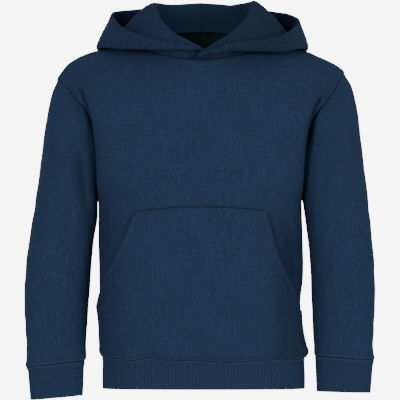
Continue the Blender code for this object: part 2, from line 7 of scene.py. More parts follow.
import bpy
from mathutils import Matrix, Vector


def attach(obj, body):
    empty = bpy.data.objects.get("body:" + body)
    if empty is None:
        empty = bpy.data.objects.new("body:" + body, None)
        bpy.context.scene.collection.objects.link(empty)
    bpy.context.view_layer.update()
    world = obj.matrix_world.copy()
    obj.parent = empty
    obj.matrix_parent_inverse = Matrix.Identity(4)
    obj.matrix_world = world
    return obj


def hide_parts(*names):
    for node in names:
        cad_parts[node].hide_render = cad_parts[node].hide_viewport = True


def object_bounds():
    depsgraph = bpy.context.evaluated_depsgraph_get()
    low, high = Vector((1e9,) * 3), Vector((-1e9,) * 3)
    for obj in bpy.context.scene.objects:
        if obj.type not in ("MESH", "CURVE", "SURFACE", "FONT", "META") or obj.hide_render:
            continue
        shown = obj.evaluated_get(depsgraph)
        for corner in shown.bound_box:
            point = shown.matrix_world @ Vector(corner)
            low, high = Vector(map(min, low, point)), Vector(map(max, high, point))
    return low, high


bl_info = {
    "name": "Toddler hoodie",
    "version": (1, 0, 0),
    "blender": (4, 5, 0),
    "location": "3D View > Sidebar > Hoodie",
    "description": "Makes the cloth, ribs and stitches of a filled-out toddler hoodie over its packed model",
    "category": "Object",
}

from functools import partial

import bpy
import numpy as np
from bpy.props import FloatProperty, FloatVectorProperty, PointerProperty
from mathutils import Vector

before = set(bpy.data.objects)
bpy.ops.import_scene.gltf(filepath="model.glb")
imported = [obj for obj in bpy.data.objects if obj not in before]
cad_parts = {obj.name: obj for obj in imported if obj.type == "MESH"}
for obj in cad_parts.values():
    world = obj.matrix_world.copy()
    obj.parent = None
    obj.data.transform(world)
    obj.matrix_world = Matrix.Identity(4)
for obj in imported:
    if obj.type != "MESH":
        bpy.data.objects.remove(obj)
CAD_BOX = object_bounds()

MM = 0.001
FRONT, BACK = -1, 1
RIGHT, LEFT = -1, 1  # the wearer's
FLEECE = 2.0 * MM  # thickness of the body cloth
RIB = 3.0 * MM  # folded rib of the cuffs and the waistband
HOOD_LAYER = 1.5 * MM  # each of the hood's two layers
LAYER_GAP = 0.5 * MM  # between the hood's two layers
COARSE, FINE = 2, 1
CELL = FINE * 2.6 * MM  # of the cloth's grids
PIECES = {}  # outer face of each finished piece, which the pocket and the stitches follow


def table(columns, rows):
    """Rows of millimetres as named columns in metres."""
    return dict(zip(columns.split(), np.array(rows, float).T * MM))


BAND = "height right left front back"  # columns of a table of level sections
RING = "outer outer_height inner inner_height depth middle"  # and of a table of sleeve sections
EDGE = "right right_height left left_height depth"  # and of a seam seen from the front

# Level sections of the body: how far it reaches to the wearer's right and left, to the front and to the back.
BODY = table(BAND, [
    (-390, -125.0, 132.5, -83, 79.5),
    (-384, -127.4, 137.0, -85.6, 82.5),
    (-374, -127.0, 134.4, -88, 85),
    (-352, -126.0, 128.9, -90, 87),
    (-320, -128.2, 126.8, -91, 88),
    (-290, -128.4, 130.0, -91.5, 88),
    (-241, -129.6, 129.8, -92, 88),
    (-190, -129.6, 128.7, -91.5, 88.5),
    (-150, -132.0, 131.0, -90, 88.5),
    (-120, -133.5, 133.5, -88, 87.5),
    (-84, -137.5, 139.5, -84.5, 84),
])
WAIST_SEAM, UNDERARM = BODY["height"][0], BODY["height"][7]
# Armhole seam of each panel, from the underarm to the shoulder point.
ARMHOLE = {FRONT: table(EDGE, [
    (-129.6, -190, 128.7, -190, 0),
    (-130.3, -182, 129.5, -182, -17),
    (-131.5, -163, 130.5, -163, -30),
    (-132.5, -138, 131.8, -138, -36),
    (-134.5, -112, 134.5, -114, -39),
    (-138.5, -90, 140.0, -92, -40),
    (-146.0, -74.5, 149.0, -77, -37),
    (-158.0, -62, 160.0, -66, -29),
    (-171.0, -46, 172.0, -47, -14),
    (-181.7, -35.0, 181.8, -26, 4),
]), BACK: table(EDGE, [
    (-129.6, -190, 128.7, -190, 0),
    (-130.6, -181, 130.5, -181, 18),
    (-133.0, -162, 133.0, -162, 32),
    (-136.5, -136, 137.0, -136, 40),
    (-142.0, -108, 143.0, -108, 44),
    (-150.0, -84, 151.5, -84, 43),
    (-160.0, -64, 162.0, -64, 36),
    (-171.0, -46, 173.0, -45, 21),
    (-181.7, -35.0, 181.8, -26, 4),
])}
# Shoulder seam from the neck point outwards.
SHOULDER = table(EDGE, [
    (-78.0, 6.0, 78.0, 6.0, 0),
    (-105.0, 4.0, 106.0, 3.5, 1),
    (-133.4, -1.3, 135.8, -2.3, 2),
    (-149.4, -6.7, 148.4, -7.6, 3),
    (-160.8, -12.5, 159.4, -12.4, 3.5),
    (-170.6, -20.0, 171.6, -18.4, 4),
    (-181.7, -35.0, 181.8, -26.0, 4),
])
# Heights of the neck seam at these turns round the neck, 0 at the centre front and 180 at the centre back.
NECK_TURNS = (-40, 0, 40, 65, 90, 135, 180, 225)
NECK_HEIGHTS = np.array((-6.5, -13, -6.5, 0, 6, 18, 22.5, 18)) * MM
NECK_WIDTH = 156 * MM
NECK_FRONT = -60 * MM
NECK_BACK = 58 * MM
NECK_SHARE = 0.4  # of a panel's half width, taken by the neck
CREASE_TOP = 0.6  # share of the armhole's length where the fold beside the body ends
CHEST_HEIGHT = -95 * MM  # of the panels' middle, level with the end of that fold
PANEL_FULLNESS = 2.5  # 2 is an ellipse, more is squarer
CHEST_FULLNESS = 3.1  # of the chest above the underarm
CHEST_FILLS = 0.3  # share of the armhole's length over which the chest reaches that fullness
NECK_LEAN = (0.5, 0.87)  # how far back and up a panel leans where it meets the neck seam
SHOULDER_LEAN = (1.0, -0.1)  # the same at the shoulder seam
LEAN = 1.15  # strength of that lean, against the height between the chest and the seam
ARM_PULL = 0.45  # share of a panel's half width beyond which its rows are drawn to the armhole
SLEEVE_FULLNESS = 2.45

# Sleeve sections: their outer and inner ends as seen from the front, their half depth, and how far back their
# middle lies.
SLEEVE = {
    RIGHT: table(RING, [
        (-181.7, -35.0, -129.6, -190, 44, 4),
        (-188.2, -50, -130.8, -197, 48, 4),
        (-194.6, -82, -131.3, -206, 51, 4),
        (-198.6, -110, -132.2, -217, 51, 5),
        (-203.6, -150, -135.0, -235, 49, 6),
        (-209.6, -190, -137.4, -256, 46, 7),
        (-217.3, -241, -139.4, -284, 42, 7),
        (-222.4, -282, -141.4, -308, 39, 4),
        (-223.3, -326, -143.6, -336, 35, -1),
        (-222.0, -352, -144.8, -357, 32, -5),
        (-221.0, -375, -145.6, -376, 29, -8),
        (-220.6, -390, -145.4, -387, 27, -10),
        (-221.4, -402, -146.8, -394, 24, -11),
    ]),
    LEFT: table(RING, [
        (181.8, -26, 128.7, -190, 44, 4),
        (191.4, -42, 130.0, -196, 48, 4),
        (198.2, -70, 131.6, -205, 51, 4),
        (201.8, -98, 134.0, -218, 51, 5),
        (207.2, -143, 136.2, -236, 49, 6),
        (213.0, -190, 138.8, -256, 46, 7),
        (217.8, -241, 140.2, -282, 42, 7),
        (221.0, -280, 141.0, -306, 39, 4),
        (221.4, -322, 142.0, -332, 35, -1),
        (220.0, -350, 143.2, -354, 32, -5),
        (219.0, -370, 144.0, -371, 29, -8),
        (219.0, -381, 144.4, -381, 27, -10),
        (220.3, -393, 145.4, -388, 24, -11),
    ]),
}
SEAM_REACH = 0.22  # share of the sleeve's length over which it leaves the armhole's own shape
CUFF = {
    RIGHT: table(RING, [
        (-219.0, -408, -147.6, -402, 22, -11.5),
        (-217.6, -425, -148.2, -420, 21, -12),
        (-215.8, -444.4, -149.0, -438.4, 21, -12),
    ]),
    LEFT: table(RING, [
        (218.8, -400, 145.6, -396, 22, -11.5),
        (217.4, -417, 146.2, -414, 21, -12),
        (216.0, -435.2, 147.2, -433.4, 21, -12),
    ]),
}
WAISTBAND = table(BAND, [
    (-394, -124.2, 131.8, -82.2, 78.7),
    (-412, -124.8, 132.8, -81.6, 78),
    (-430, -124.6, 132.8, -81, 77.5),
])

# Slanted openings of the pocket: how far out each edge lies at these heights.
POCKET_EDGE = {
    RIGHT: table("height reach", [
        (-332, -128.4), (-326, -128.2), (-316, -126.8), (-302, -122.6), (-290, -118.0), (-281, -113.4),
        (-273, -109.2), (-263, -104.2), (-253, -99.6), (-234, -91.8), (-220, -87.4), (-212, -84.8),
        (-205, -80.6),
    ]),
    LEFT: table("height reach", [
        (-332, 127.2), (-322, 123.4), (-310, 118.0), (-298, 112.3), (-285, 106.4), (-271, 100.0),
        (-259, 95.3), (-247, 91.8), (-234, 88.9), (-220, 86.2), (-205, 82.8),
    ]),
}
POCKET_TOP = {RIGHT: -206 * MM, 0: -199.5 * MM, LEFT: -205 * MM}
POCKET_TOP_BEND = 2.2  # how late the top seam bends towards its ends, more is later
POCKET_GAP = 0.3 * MM  # between the pocket and the panel, where it is sewn on
POCKET_SIDE = 0.985  # share of the panel's half width at which the pocket stops, short of the side seam
POCKET_HOLLOW = 9.2 * MM  # most room behind the middle of the pocket
POCKET_SWELL = 0.7  # how soon that room grows from the seams, less is sooner
OPENING_HOLLOW = 6 * MM  # most room behind its slanted edges
OPENING_SWELL = 1.9  # how high up they stand out most, more is higher
OPENING_REACH = 4  # how closely that room keeps to the edges, more is closer

# Hood sections round the neck. Each runs up from the neck seam to the top fold, turns out and down to the
# bottom roll and up again to the free edge. These places are given as reach from the centre, depth and
# height. tuck is how far inside the neck seam a section starts, and soft is the roundness of its folds.
HOOD_SECTION = "tuck top top_depth top_height roll roll_depth roll_height edge edge_depth edge_height soft"
HOOD_TURNS = {  # of the sections round the neck
    RIGHT: (-9, 1, 10.5, 25, 43, 64, 88, 117, 143, 164, 180),
    LEFT: (-5, 5.5, 15, 29, 44, 64, 88, 117, 143, 164, 180),
}
HOOD = {
    RIGHT: table(HOOD_SECTION, [
        (6.5, -8, -54, -4, -8, -55.5, -3, -8, -57, -2, 2),
        (6.5, 1, -55.5, 2, 2, -60, 0, 3, -63.5, 3, 2),
        (4.5, 14.5, -56.5, 9, 17, -67, 0.5, 19.5, -72, 5.5, 2.5),
        (0.5, 31, -55, 16.5, 37, -71.5, 0.5, 42, -77, 9, 3),
        (0, 47.5, -46, 32.5, 68, -65, 1, 70, -70, 15.5, 3.5),
        (0, 57.5, -30, 50, 99, -44, 2, 98.5, -45, 27.5, 4),
        (0, 60.5, -6, 57.5, 129.0, -6, 2.6, 111.5, 2, 45.5, 2.8),
        (0, 53, 36, 59.5, 117, 52, -12, 102, 57, 50.5, 5),
        (0, 36, 62, 58, 90, 86, -60, 70, 86, 55, 5),
        (0, 17, 72, 58, 48, 99, -100, 34, 96, 60, 5),
        (0, 0, 75, 58, 0, 102, -116, 0, 99, 62.4, 5),
    ]),
    LEFT: table(HOOD_SECTION, [
        (0, -4, -64, -8.5, -3, -69, -9.5, -1.5, -73, -7.5, 2),
        (0, 7, -64.5, -1, 8.5, -71.5, -6, 10, -76, -2.5, 2),
        (0, 20, -62, 8, 23.5, -73.5, -3, 27, -78, 4, 2.5),
        (0, 36.5, -55.5, 18, 44, -71, -1, 49, -76.5, 9, 3),
        (0, 52, -46, 30, 74, -64, -1.5, 77, -69, 12, 3.5),
        (0, 63.5, -30, 46.5, 104, -46, -1, 106.5, -47, 19, 4),
        (0, 68, -8, 60.4, 133.3, -7, 2.4, 124.5, -3, 36, 2.8),
        (0, 62.5, 34, 61, 123, 50, -12, 114, 54, 46, 5),
        (0, 40, 62, 56.5, 93, 86, -60, 78, 85, 53, 5),
        (0, 18.5, 72, 56.5, 49, 99, -100, 36, 96, 59.6, 5),
        (0, 0, 75, 58, 0, 102, -116, 0, 99, 62.4, 5),
    ]),
}
HOOD_LIFT = 0.8 * MM  # of the hood's lower edge above the neck seam
OPEN_FOLD, CLOSED_FOLD = 4, 6  # strengths of its curves where it stands or rolls up, and where it turns down


def curve(knots, values, at):
    """Smooth curve through rows of values at rising knots, read at any places."""
    knots = np.asarray(knots, float)
    values = np.asarray(values, float)
    at = np.asarray(at, float)
    gaps = np.diff(knots)[:, None]
    rates = np.diff(values, axis=0) / gaps
    inner = (rates[1:] * gaps[:-1] + rates[:-1] * gaps[1:]) / (gaps[1:] + gaps[:-1])
    slopes = np.concatenate([rates[:1], inner, rates[-1:]])
    span = np.clip(np.searchsorted(knots, at, side="right") - 1, 0, len(gaps) - 1)
    width = gaps[span]
    part = ((at - knots[span])[..., None]) / width
    return hermite(values[span], slopes[span] * width, values[span + 1], slopes[span + 1] * width, part)


def hermite(start, leaving, end, arriving, part):
    """Cubic from start to end with these tangents, read at a share of its way."""
    return (
        start * (2 * part**3 - 3 * part**2 + 1)
        + leaving * (part**3 - 2 * part**2 + part)
        + end * (3 * part**2 - 2 * part**3)
        + arriving * (part**3 - part**2)
    )


def even_curve(points, share):
    """The smooth curve through points, read at shares of its length."""
    knots = np.arange(len(points))
    fine = np.linspace(0, len(points) - 1, 40 * len(points))
    lengths = np.linalg.norm(np.diff(curve(knots, points, fine), axis=0), axis=1)
    travelled = np.concatenate([[0], np.cumsum(lengths)])
    return curve(knots, points, np.interp(share, travelled / travelled[-1], fine))


def unit(vectors):
    return vectors / np.maximum(np.linalg.norm(vectors, axis=-1, keepdims=True), 1e-12)


def ease(share):
    """0 to 1 with level ends."""
    share = np.clip(share, 0, 1)
    return share * share * (3 - 2 * share)


def between(value, low, high):
    """0 to 1 with level ends, while a value goes from low to high."""
    return ease((value - low) / (high - low))


def side_name(side):
    return "left" if side == LEFT else "right"


def on_side(across, side):
    return (across < 0) if side == RIGHT else (across >= 0)


def beside_each_other(rows, columns):
    """Columns of a table as one array, a row for each of its rows."""
    return np.stack([rows[column] for column in columns.split()], axis=-1)


def line_of(rows, side):
    """A side's points of a seam's table."""
    name = side_name(side)
    return beside_each_other(rows, name + " depth " + name + "_height")


def read(rows, height, columns):
    """Columns of a table of level sections at a height."""
    order = np.argsort(rows["height"])
    return curve(rows["height"][order], beside_each_other(rows, columns)[order], height)


def read_at(rows, step, columns):
    """Columns of a table at any place between its rows, which are counted from 0."""
    values = beside_each_other(rows, columns)
    return np.moveaxis(curve(np.arange(len(values)), values, step), -1, 0)


def continued(above, place, rows):
    """A table that starts with the row at a place of the table of the piece it is sewn to."""
    return {name: np.concatenate([above[name][[place]], rows[name]]) for name in rows}


def rounded(share, fullness):
    """How far across and out a rounded quarter section reaches, from its middle (0) to its side (1)."""
    angle = np.abs(share) * np.pi / 2
    reach = (np.sin(angle) ** fullness + np.cos(angle) ** fullness) ** (-1 / fullness)
    return reach * np.sin(angle), reach * np.cos(angle)


def neck(turn):
    """Point of the neck seam, for turns in degrees towards either side."""
    angle = np.radians(turn)
    deep = np.where(np.cos(angle) > 0, -NECK_FRONT, NECK_BACK)
    height = curve(NECK_TURNS, NECK_HEIGHTS[:, None], turn)[..., 0]
    return np.stack([np.sin(angle) * NECK_WIDTH / 2, -np.cos(angle) * deep, height], axis=-1)


def top_edge(face, share, side):
    """Upper edge of half a panel: half of the neck seam, then the shoulder seam."""
    turn = 90 * share / NECK_SHARE
    around = neck(np.clip(turn if face == FRONT else 180 - turn, 0, 180))
    around[..., 0] *= side
    seam = even_curve(line_of(SHOULDER, side), np.clip((share - NECK_SHARE) / (1 - NECK_SHARE), 0, 1))
    return np.where((share < NECK_SHARE)[..., None], around, seam)


def arm_edge(face, side, share):
    return even_curve(line_of(ARMHOLE[face], side), share)


def level_row(face, share, side, height):
    """Half a row of a panel below the underarm."""
    across, out = rounded(share, PANEL_FULLNESS)
    reach, depth = read(BODY, height, side_name(side) + (" front" if face == FRONT else " back")).T
    return np.stack([reach * across, depth * out, np.broadcast_to(height, across.shape)], axis=-1)


def chest_row(face, share, side, rise):
    """Half a row between the underarm (rise 0) and the end of the fold beside the body (rise CREASE_TOP)."""
    across, _ = rounded(share, PANEL_FULLNESS)
    fullness = PANEL_FULLNESS + (CHEST_FULLNESS - PANEL_FULLNESS) * ease(rise / CHEST_FILLS)
    out = (1 - across**fullness) ** (1 / fullness)
    edge = arm_edge(face, side, rise)
    height = UNDERARM + (CHEST_HEIGHT - UNDERARM) * rise / CREASE_TOP
    depth = read(BODY, height, "front" if face == FRONT else "back")[..., 0]
    middle = np.cos(np.abs(share) * np.pi / 2) ** 2
    return np.stack([
        edge[..., 0] * across,
        edge[..., 1] + (depth - edge[..., 1]) * out,
        edge[..., 2] + (height - edge[..., 2]) * middle,
    ], axis=-1)


def chest_to_top(face, share, side, rise):
    """Columns that carry on from the chest row and arrive level over the shoulder, or leaning at the neck."""
    near = 0.01
    start = chest_row(face, share, side, np.full_like(share, CREASE_TOP))
    before = chest_row(face, share, side, np.full_like(share, CREASE_TOP - near))
    leaving = (start - before) / near * (1 - CREASE_TOP)
    end = top_edge(face, share, side)
    over = ease(share / NECK_SHARE)
    back, up = (
        at_neck * (1 - over) + at_shoulder * over
        for at_neck, at_shoulder in zip(NECK_LEAN, SHOULDER_LEAN)
    )
    arrival = np.stack([0 * over, -face * back, up], axis=-1)
    arriving = unit(arrival) * np.linalg.norm(end - start, axis=-1, keepdims=True) * LEAN
    return hermite(start, leaving, end, arriving, ((rise - CREASE_TOP) / (1 - CREASE_TOP))[..., None])


def yoke_row(face, share, side, rise):
    """Half a row from the chest up to the neck and shoulder seams (rise 1), its side drawn to the armhole."""
    pull = arm_edge(face, side, rise) - chest_to_top(face, np.ones_like(share), side, rise)
    return chest_to_top(face, share, side, rise) + pull * between(share, ARM_PULL, 1)[..., None]


def panel(face, across, up):
    """Outer face of the front or back panel. across runs from -1 at the wearer's right side to 1 at the left,
    and up from 0 at the waist seam through 1 at the underarm to 2 at the shoulders."""
    across, up = np.broadcast_arrays(np.asarray(across, float), np.asarray(up, float))
    share = np.abs(across)
    points = np.zeros(across.shape + (3,))
    bands = ((-1, 1, level_row), (1, 1 + CREASE_TOP, chest_row), (1 + CREASE_TOP, 3, yoke_row))
    for side in (RIGHT, LEFT):
        for low, high, row in bands:
            some = on_side(across, side) & (up > low) & (up <= high)
            if some.any():
                place = WAIST_SEAM + (UNDERARM - WAIST_SEAM) * up[some] if row is level_row else up[some] - 1
                points[some] = row(face, share[some], side, place)
    return points


def ring_points(sections, step, around, fullness):
    """Rings of a sleeve or cuff. around runs from 0 underneath, over the front, 1 on top and back to 2."""
    outer, outer_height, inner, inner_height, depth, middle = read_at(sections, step, RING)
    angle = np.pi * around
    reach = (np.abs(np.sin(angle)) ** fullness + np.abs(np.cos(angle)) ** fullness) ** (-1 / fullness)
    along, out = reach * np.cos(angle), reach * np.sin(angle)
    return np.stack([
        (outer + inner) / 2 - (outer - inner) / 2 * along,
        middle - depth * out,
        (outer_height + inner_height) / 2 - (outer_height - inner_height) / 2 * along,
    ], axis=-1)


def sleeve(side, down, around):
    """Outer face of a sleeve. down runs from 0 at the armhole to 1 at the cuff seam."""
    down, around = np.broadcast_arrays(np.asarray(down, float), np.asarray(around, float))
    sections = SLEEVE[side]
    last = len(sections["outer"]) - 1
    points = ring_points(sections, down * last, around, SLEEVE_FULLNESS)
    start = ring_points(sections, 0 * down, around, SLEEVE_FULLNESS)
    seam = np.where(
        (around <= 1)[..., None],
        arm_edge(FRONT, side, np.clip(around, 0, 1)),
        arm_edge(BACK, side, np.clip(2 - around, 0, 1)),
    )
    left_over = np.clip(1 - down / SEAM_REACH, 0, 1)[..., None] ** 2
    return points + (seam - start) * left_over


def cuff(side, down, around):
    """Outer face of a cuff. down runs from 0 at its seam to 1 at its open end."""
    sections = continued(SLEEVE[side], -1, CUFF[side])
    down, around = np.broadcast_arrays(np.asarray(down, float), np.asarray(around, float))
    return ring_points(sections, down * (len(sections["outer"]) - 1), around, SLEEVE_FULLNESS)


def waistband(down, around):
    """Outer face of the waistband. around runs over the front from -1 to 1 and over the back from 1 to 3."""
    down, around = np.broadcast_arrays(np.asarray(down, float), np.asarray(around, float))
    rows = continued(BODY, 0, WAISTBAND)
    height, right, left, front, back = read_at(rows, down * (len(rows["height"]) - 1), BAND)
    place = np.where(around <= 1, around, 2 - around)
    across, out = rounded(place, PANEL_FULLNESS)
    return np.stack([
        np.where(place < 0, right, left) * across,
        np.where(around <= 1, front, back) * out,
        height,
    ], axis=-1)


def pocket(along, up):
    """Where the pocket lies on the front panel: the panel's own coordinates, and how far out it stands.
    along runs from -1 to 1 between its side edges, and up from 0 at the waist seam to 1 at its top seam."""
    along, up = np.broadcast_arrays(np.asarray(along, float), np.asarray(up, float))
    side_top = np.where(along < 0, POCKET_TOP[RIGHT], POCKET_TOP[LEFT])
    top = POCKET_TOP[0] + (side_top - POCKET_TOP[0]) * np.abs(along) ** POCKET_TOP_BEND
    height = WAIST_SEAM + (top - WAIST_SEAM) * up
    shares = np.linspace(0, 1, 200)
    reach_of_share = rounded(shares, PANEL_FULLNESS)[0]
    across = np.zeros_like(height)
    rise_of_opening = np.zeros_like(height)
    for side in (RIGHT, LEFT):
        here = on_side(along, side)
        foot = POCKET_EDGE[side]["height"][0]
        row_height = WAIST_SEAM + (POCKET_TOP[side] - WAIST_SEAM) * up[here]
        full = np.abs(read(BODY, row_height, side_name(side))[..., 0])
        drawn = np.abs(read(POCKET_EDGE[side], np.maximum(row_height, foot), "reach")[..., 0])
        limit = np.where(row_height <= foot, 1, np.minimum(drawn / full, 1))
        across[here] = side * np.interp(limit, reach_of_share, shares) * np.abs(along[here])
        rise_of_opening[here] = np.clip((row_height - foot) / (POCKET_TOP[side] - foot), 0, 1)
    across = np.clip(across, -POCKET_SIDE, POCKET_SIDE)
    middle = np.sin(np.pi * np.clip(up, 0, 1)) ** POCKET_SWELL * POCKET_HOLLOW
    mouth = np.sin(np.pi * rise_of_opening**OPENING_SWELL) * OPENING_HOLLOW
    near_edge = np.abs(along) ** OPENING_REACH
    out = POCKET_GAP + middle * (1 - near_edge) + mouth * near_edge
    return across, (height - WAIST_SEAM) / (UNDERARM - WAIST_SEAM), out


def hood(side, around, up):
    """Middle of the hood's cloth. around runs from 0 at the centre front to 1 at the centre back, and up
    from 0 at the neck seam through 1 at the top fold and 2 at the bottom roll to 3 at the free edge."""
    around, up = np.broadcast_arrays(np.asarray(around, float), np.asarray(up, float))
    turns = np.array(HOOD_TURNS[side], float)
    step = around * (len(turns) - 1)
    found = dict(zip(HOOD_SECTION.split(), read_at(HOOD[side], step, HOOD_SECTION)))
    level = np.array([1, 1, 0])
    seam = neck(curve(np.arange(len(turns)), turns[:, None], step)[..., 0])
    seam = seam - unit(seam * level) * found["tuck"][..., None]
    seam[..., 2] += HOOD_LIFT
    top, roll, edge = (
        beside_each_other(found, "{0} {0}_depth {0}_height".format(name)) for name in ("top", "roll", "edge")
    )
    outwards = unit((roll - seam) * level)
    rise, fall, back = top - seam, roll - top, edge - roll

    def rounding(strength, run):
        """Tangent that rounds the fold at the end of a run."""
        reach = np.linalg.norm(run, axis=-1, keepdims=True)
        return outwards * np.sqrt(strength * reach * found["soft"][..., None])

    turned = rounding(CLOSED_FOLD, fall)
    stand = hermite(seam, rise, top, rounding(OPEN_FOLD, rise), up[..., None])
    inner = hermite(top, turned, roll, turned, up[..., None] - 1)
    outer = hermite(roll, rounding(OPEN_FOLD, back), edge, back, up[..., None] - 2)
    points = np.where((up <= 1)[..., None], stand, np.where((up <= 2)[..., None], inner, outer))
    points[..., 0] *= side
    return points


def unit_normals(grid, turn, tube=False):
    """Unit normals at a grid's points, from its cells. A tube's last column is its first."""
    sums = np.zeros_like(grid)
    corners = grid[:-1, :-1], grid[:-1, 1:], grid[1:, 1:], grid[1:, :-1]
    faces = np.cross(corners[2] - corners[0], corners[3] - corners[1]) * turn
    first, second = slice(0, -1), slice(1, None)
    for rows, columns in ((first, first), (first, second), (second, second), (second, first)):
        sums[rows, columns] += faces
    if tube:
        sums[:, 0] = sums[:, -1] = sums[:, 0] + sums[:, -1]
    return unit(sums)


# Folds of the cloth, each a line on the garment seen from one side, with the width and depth of its trough.
# A negative depth is a ridge.
FOLDS = {
    "front": [
        (2.9, 4.8, [
            (-156, -42), (-150.5, -53), (-146.7, -63.5), (-142.5, -75.5), (-138.4, -92), (-134.8, -122),
        ]),
        (3.4, 5.2, [(157, -50), (151, -63), (145, -74.5), (140.5, -90), (137, -108), (132.5, -145)]),
        (7.2, 3.7, [
            (-158, -112), (-154.5, -137), (-151.5, -160), (-148, -180), (-144.5, -202), (-140, -228),
            (-138, -248),
        ]),
        (5, 1.0, [(163, -128), (157, -158), (152, -190)]),
        (8, 2.2, [(97, -207), (108, -233), (115.5, -272), (117, -300)]),
        (11, 2.3, [(-119, -176), (-121, -215), (-117, -262)]),
        (24, 3.1, [(-124, -292), (-122, -332), (-120, -384)]),
        (7, 1.0, [(-178, -300), (-190, -330), (-206, -352)]),
        (8, 0.9, [(176, -285), (188, -318), (205, -345)]),
        (10, 0.9, [(-60, -352), (-30, -362), (8, -366)]),
        (9, 0.8, [(30, -371), (64, -364), (92, -366)]),
        (12, 1.0, [(-118, -120), (-96, -102), (-70, -92)]),
        (13, 0.9, [(118, -128), (92, -106), (62, -96)]),
        (7, 1.2, [(-126, -338), (-108, -330), (-96, -312)]),
        (7, 1.0, [(124, -322), (106, -318), (98, -298)]),
    ],
    "back": [
        (4.5, 3.4, [(-151, -52), (-146, -72), (-141, -98), (-137, -124)]),
        (4.5, 3.6, [(152, -50), (147, -70), (141, -96), (137, -126)]),
        (7, 1.4, [(-156, -118), (-152, -150), (-148, -190), (-143, -220)]),
        (6, 1.2, [(160, -122), (155, -156), (150, -196)]),
        (11, 1.5, [(-124, -150), (-96, -172), (-60, -184)]),
        (12, 1.3, [(126, -158), (98, -176), (66, -182)]),
        (13, 1.2, [(-112, -238), (-70, -262), (-30, -270)]),
        (12, 1.4, [(114, -250), (74, -276), (34, -288)]),
        (10, 1.2, [(-100, -346), (-62, -356), (-20, -360)]),
        (9, 1.1, [(106, -338), (70, -352), (26, -366)]),
        (8, 1.0, [(-178, -292), (-192, -326), (-205, -352)]),
        (8, 1.0, [(178, -296), (190, -322), (206, -344)]),
    ],
    "side": [
        (8, 0.45, [(-40, -182), (-12, -200), (20, -204)]),
        (9, 0.4, [(-30, -268), (2, -284), (28, -282)]),
        (7, 0.4, [(-26, -338), (0, -348), (22, -344)]),
        (7, 0.35, [(-32, -366), (-10, -372), (14, -369)]),
    ],
}

# How far the waist seam runs above or below its level line, in steps of WAVE_HEIGHT, at places from the
# wearer's right to the left.
WAVE_HEIGHT = 0.62 * MM
WAVE_PLACES = np.array((-131, -121, -101, -85, -76, -62, -51, -40, -23, 0, 18, 64, 79, 85, 93, 121, 131)) * MM
WAVES = {
    FRONT: (0, 2.2, -0.4, -4.0, -1.2, 2.0, -0.8, -4.2, -3.2, -3.2, -6.6, -4.4, -3.0, 1.8, -0.8, -1.6, 0),
    BACK: (0, 1.2, 2.6, 0.6, -1.4, -3.0, -1.0, 1.8, 2.4, -0.4, -2.6, -1.2, 1.4, 2.6, 1.0, -1.0, 0),
}
WAVE_REACH = 24 * MM  # how far up and down they are felt

FOLD_FADE = 22 * MM  # from the side seams, over which the folds of the front and the back fade in
SIDE_FOLDS = (168 * MM, 192 * MM)  # how far out the sleeves' side folds begin, and are at their full depth
RIDGE = (0.3, 2.0, 0.8)  # beside a fold's trough: its height, place and width, as shares of the trough's
FOLD_ENDS = 0.25  # share of a fold's length over which each end runs out
DARK_FOLD = 5 * MM  # depth of a fold whose bottom is in full shade

COURSE_SHARE = 0.78  # height of a row of loops, as a share of its width
PUFF = 0.5 * MM  # how far the cloth stands up over the seam allowance beside a seam
PUFF_PLACE = 2.4 * MM  # from the seam
FLAT_PUFF = 0.25  # share of it beside the side, armhole and hood seams
UNDERARM_PUFF = 0.5  # beside a sleeve's own seam
RIB_PUFF = 0.6  # on the ribs
DRAPE = {"panel": 0.42 * MM, "sleeve": 0.25 * MM, "hood": 0.35 * MM}  # height of the cloth's slow unevenness
DRAPE_FADE = {"panel": 22 * MM, "sleeve": 25 * MM, "hood": 20 * MM}  # from a seam, where it is felt in full
GATHERS = {"panel": (17 * MM, 0.32 * MM), "sleeve": (15 * MM, 0.34 * MM)}  # how far from a rib, and how deep
PUCKERS = ((410, 1.0, 1.0), (655, 0.8, 2.3), (263, 0.6, -1.0))  # their paces, heights and shifts
PUCKER_FADE = 3 * MM  # from the seam, where they are felt in full
HALF_GIRTH = 110 * MM  # of a sleeve above its cuff, round which its puckers are spread
SHRINK = 0.5 * MM  # by which smoothing draws a sleeve in
SMOOTHING = 0.8  # share of the way to its neighbours' mean that a point is moved in each round
PANEL_SMOOTH = (0.6, 0.95)  # places up a panel between which smoothing sets in
SLEEVE_SMOOTH = (0, 0.05, 0.93, 0.85)  # places down a sleeve where it sets in, and where it ends

# Shade of the cloth at each kind of seam: how dark, and how far from the seam it is felt.
DITCH = 0.65 * MM
SEAM_SHADE = {
    "waist": (0.3, DITCH), "wrist": (0.3, DITCH), "underarm": (0.3, DITCH), "armhole": (0.25, DITCH),
    "rib": (0.3, DITCH), "side": (0.1, DITCH), "neck": (0.45, 1.8 * DITCH),
}
# Shade of the front where it turns away below the chest: how dark, how far from the centre it begins and is
# full, and the heights where it begins and is full.
SIDE_SHADE = {RIGHT: 0.34, LEFT: 0.42}
SIDE_SHADE_REACH = {RIGHT: (92 * MM, 126 * MM), LEFT: (84 * MM, 110 * MM)}
SIDE_SHADE_HEIGHTS = (-200 * MM, -250 * MM)
HOOD_SHADE = {RIGHT: 0.33, LEFT: 0.46}  # of the hood's rolls, which lie under their own edges
HOOD_SHADE_ENDS = (0.45, 0.7)  # places round the hood between which that shade fades on its outer layer

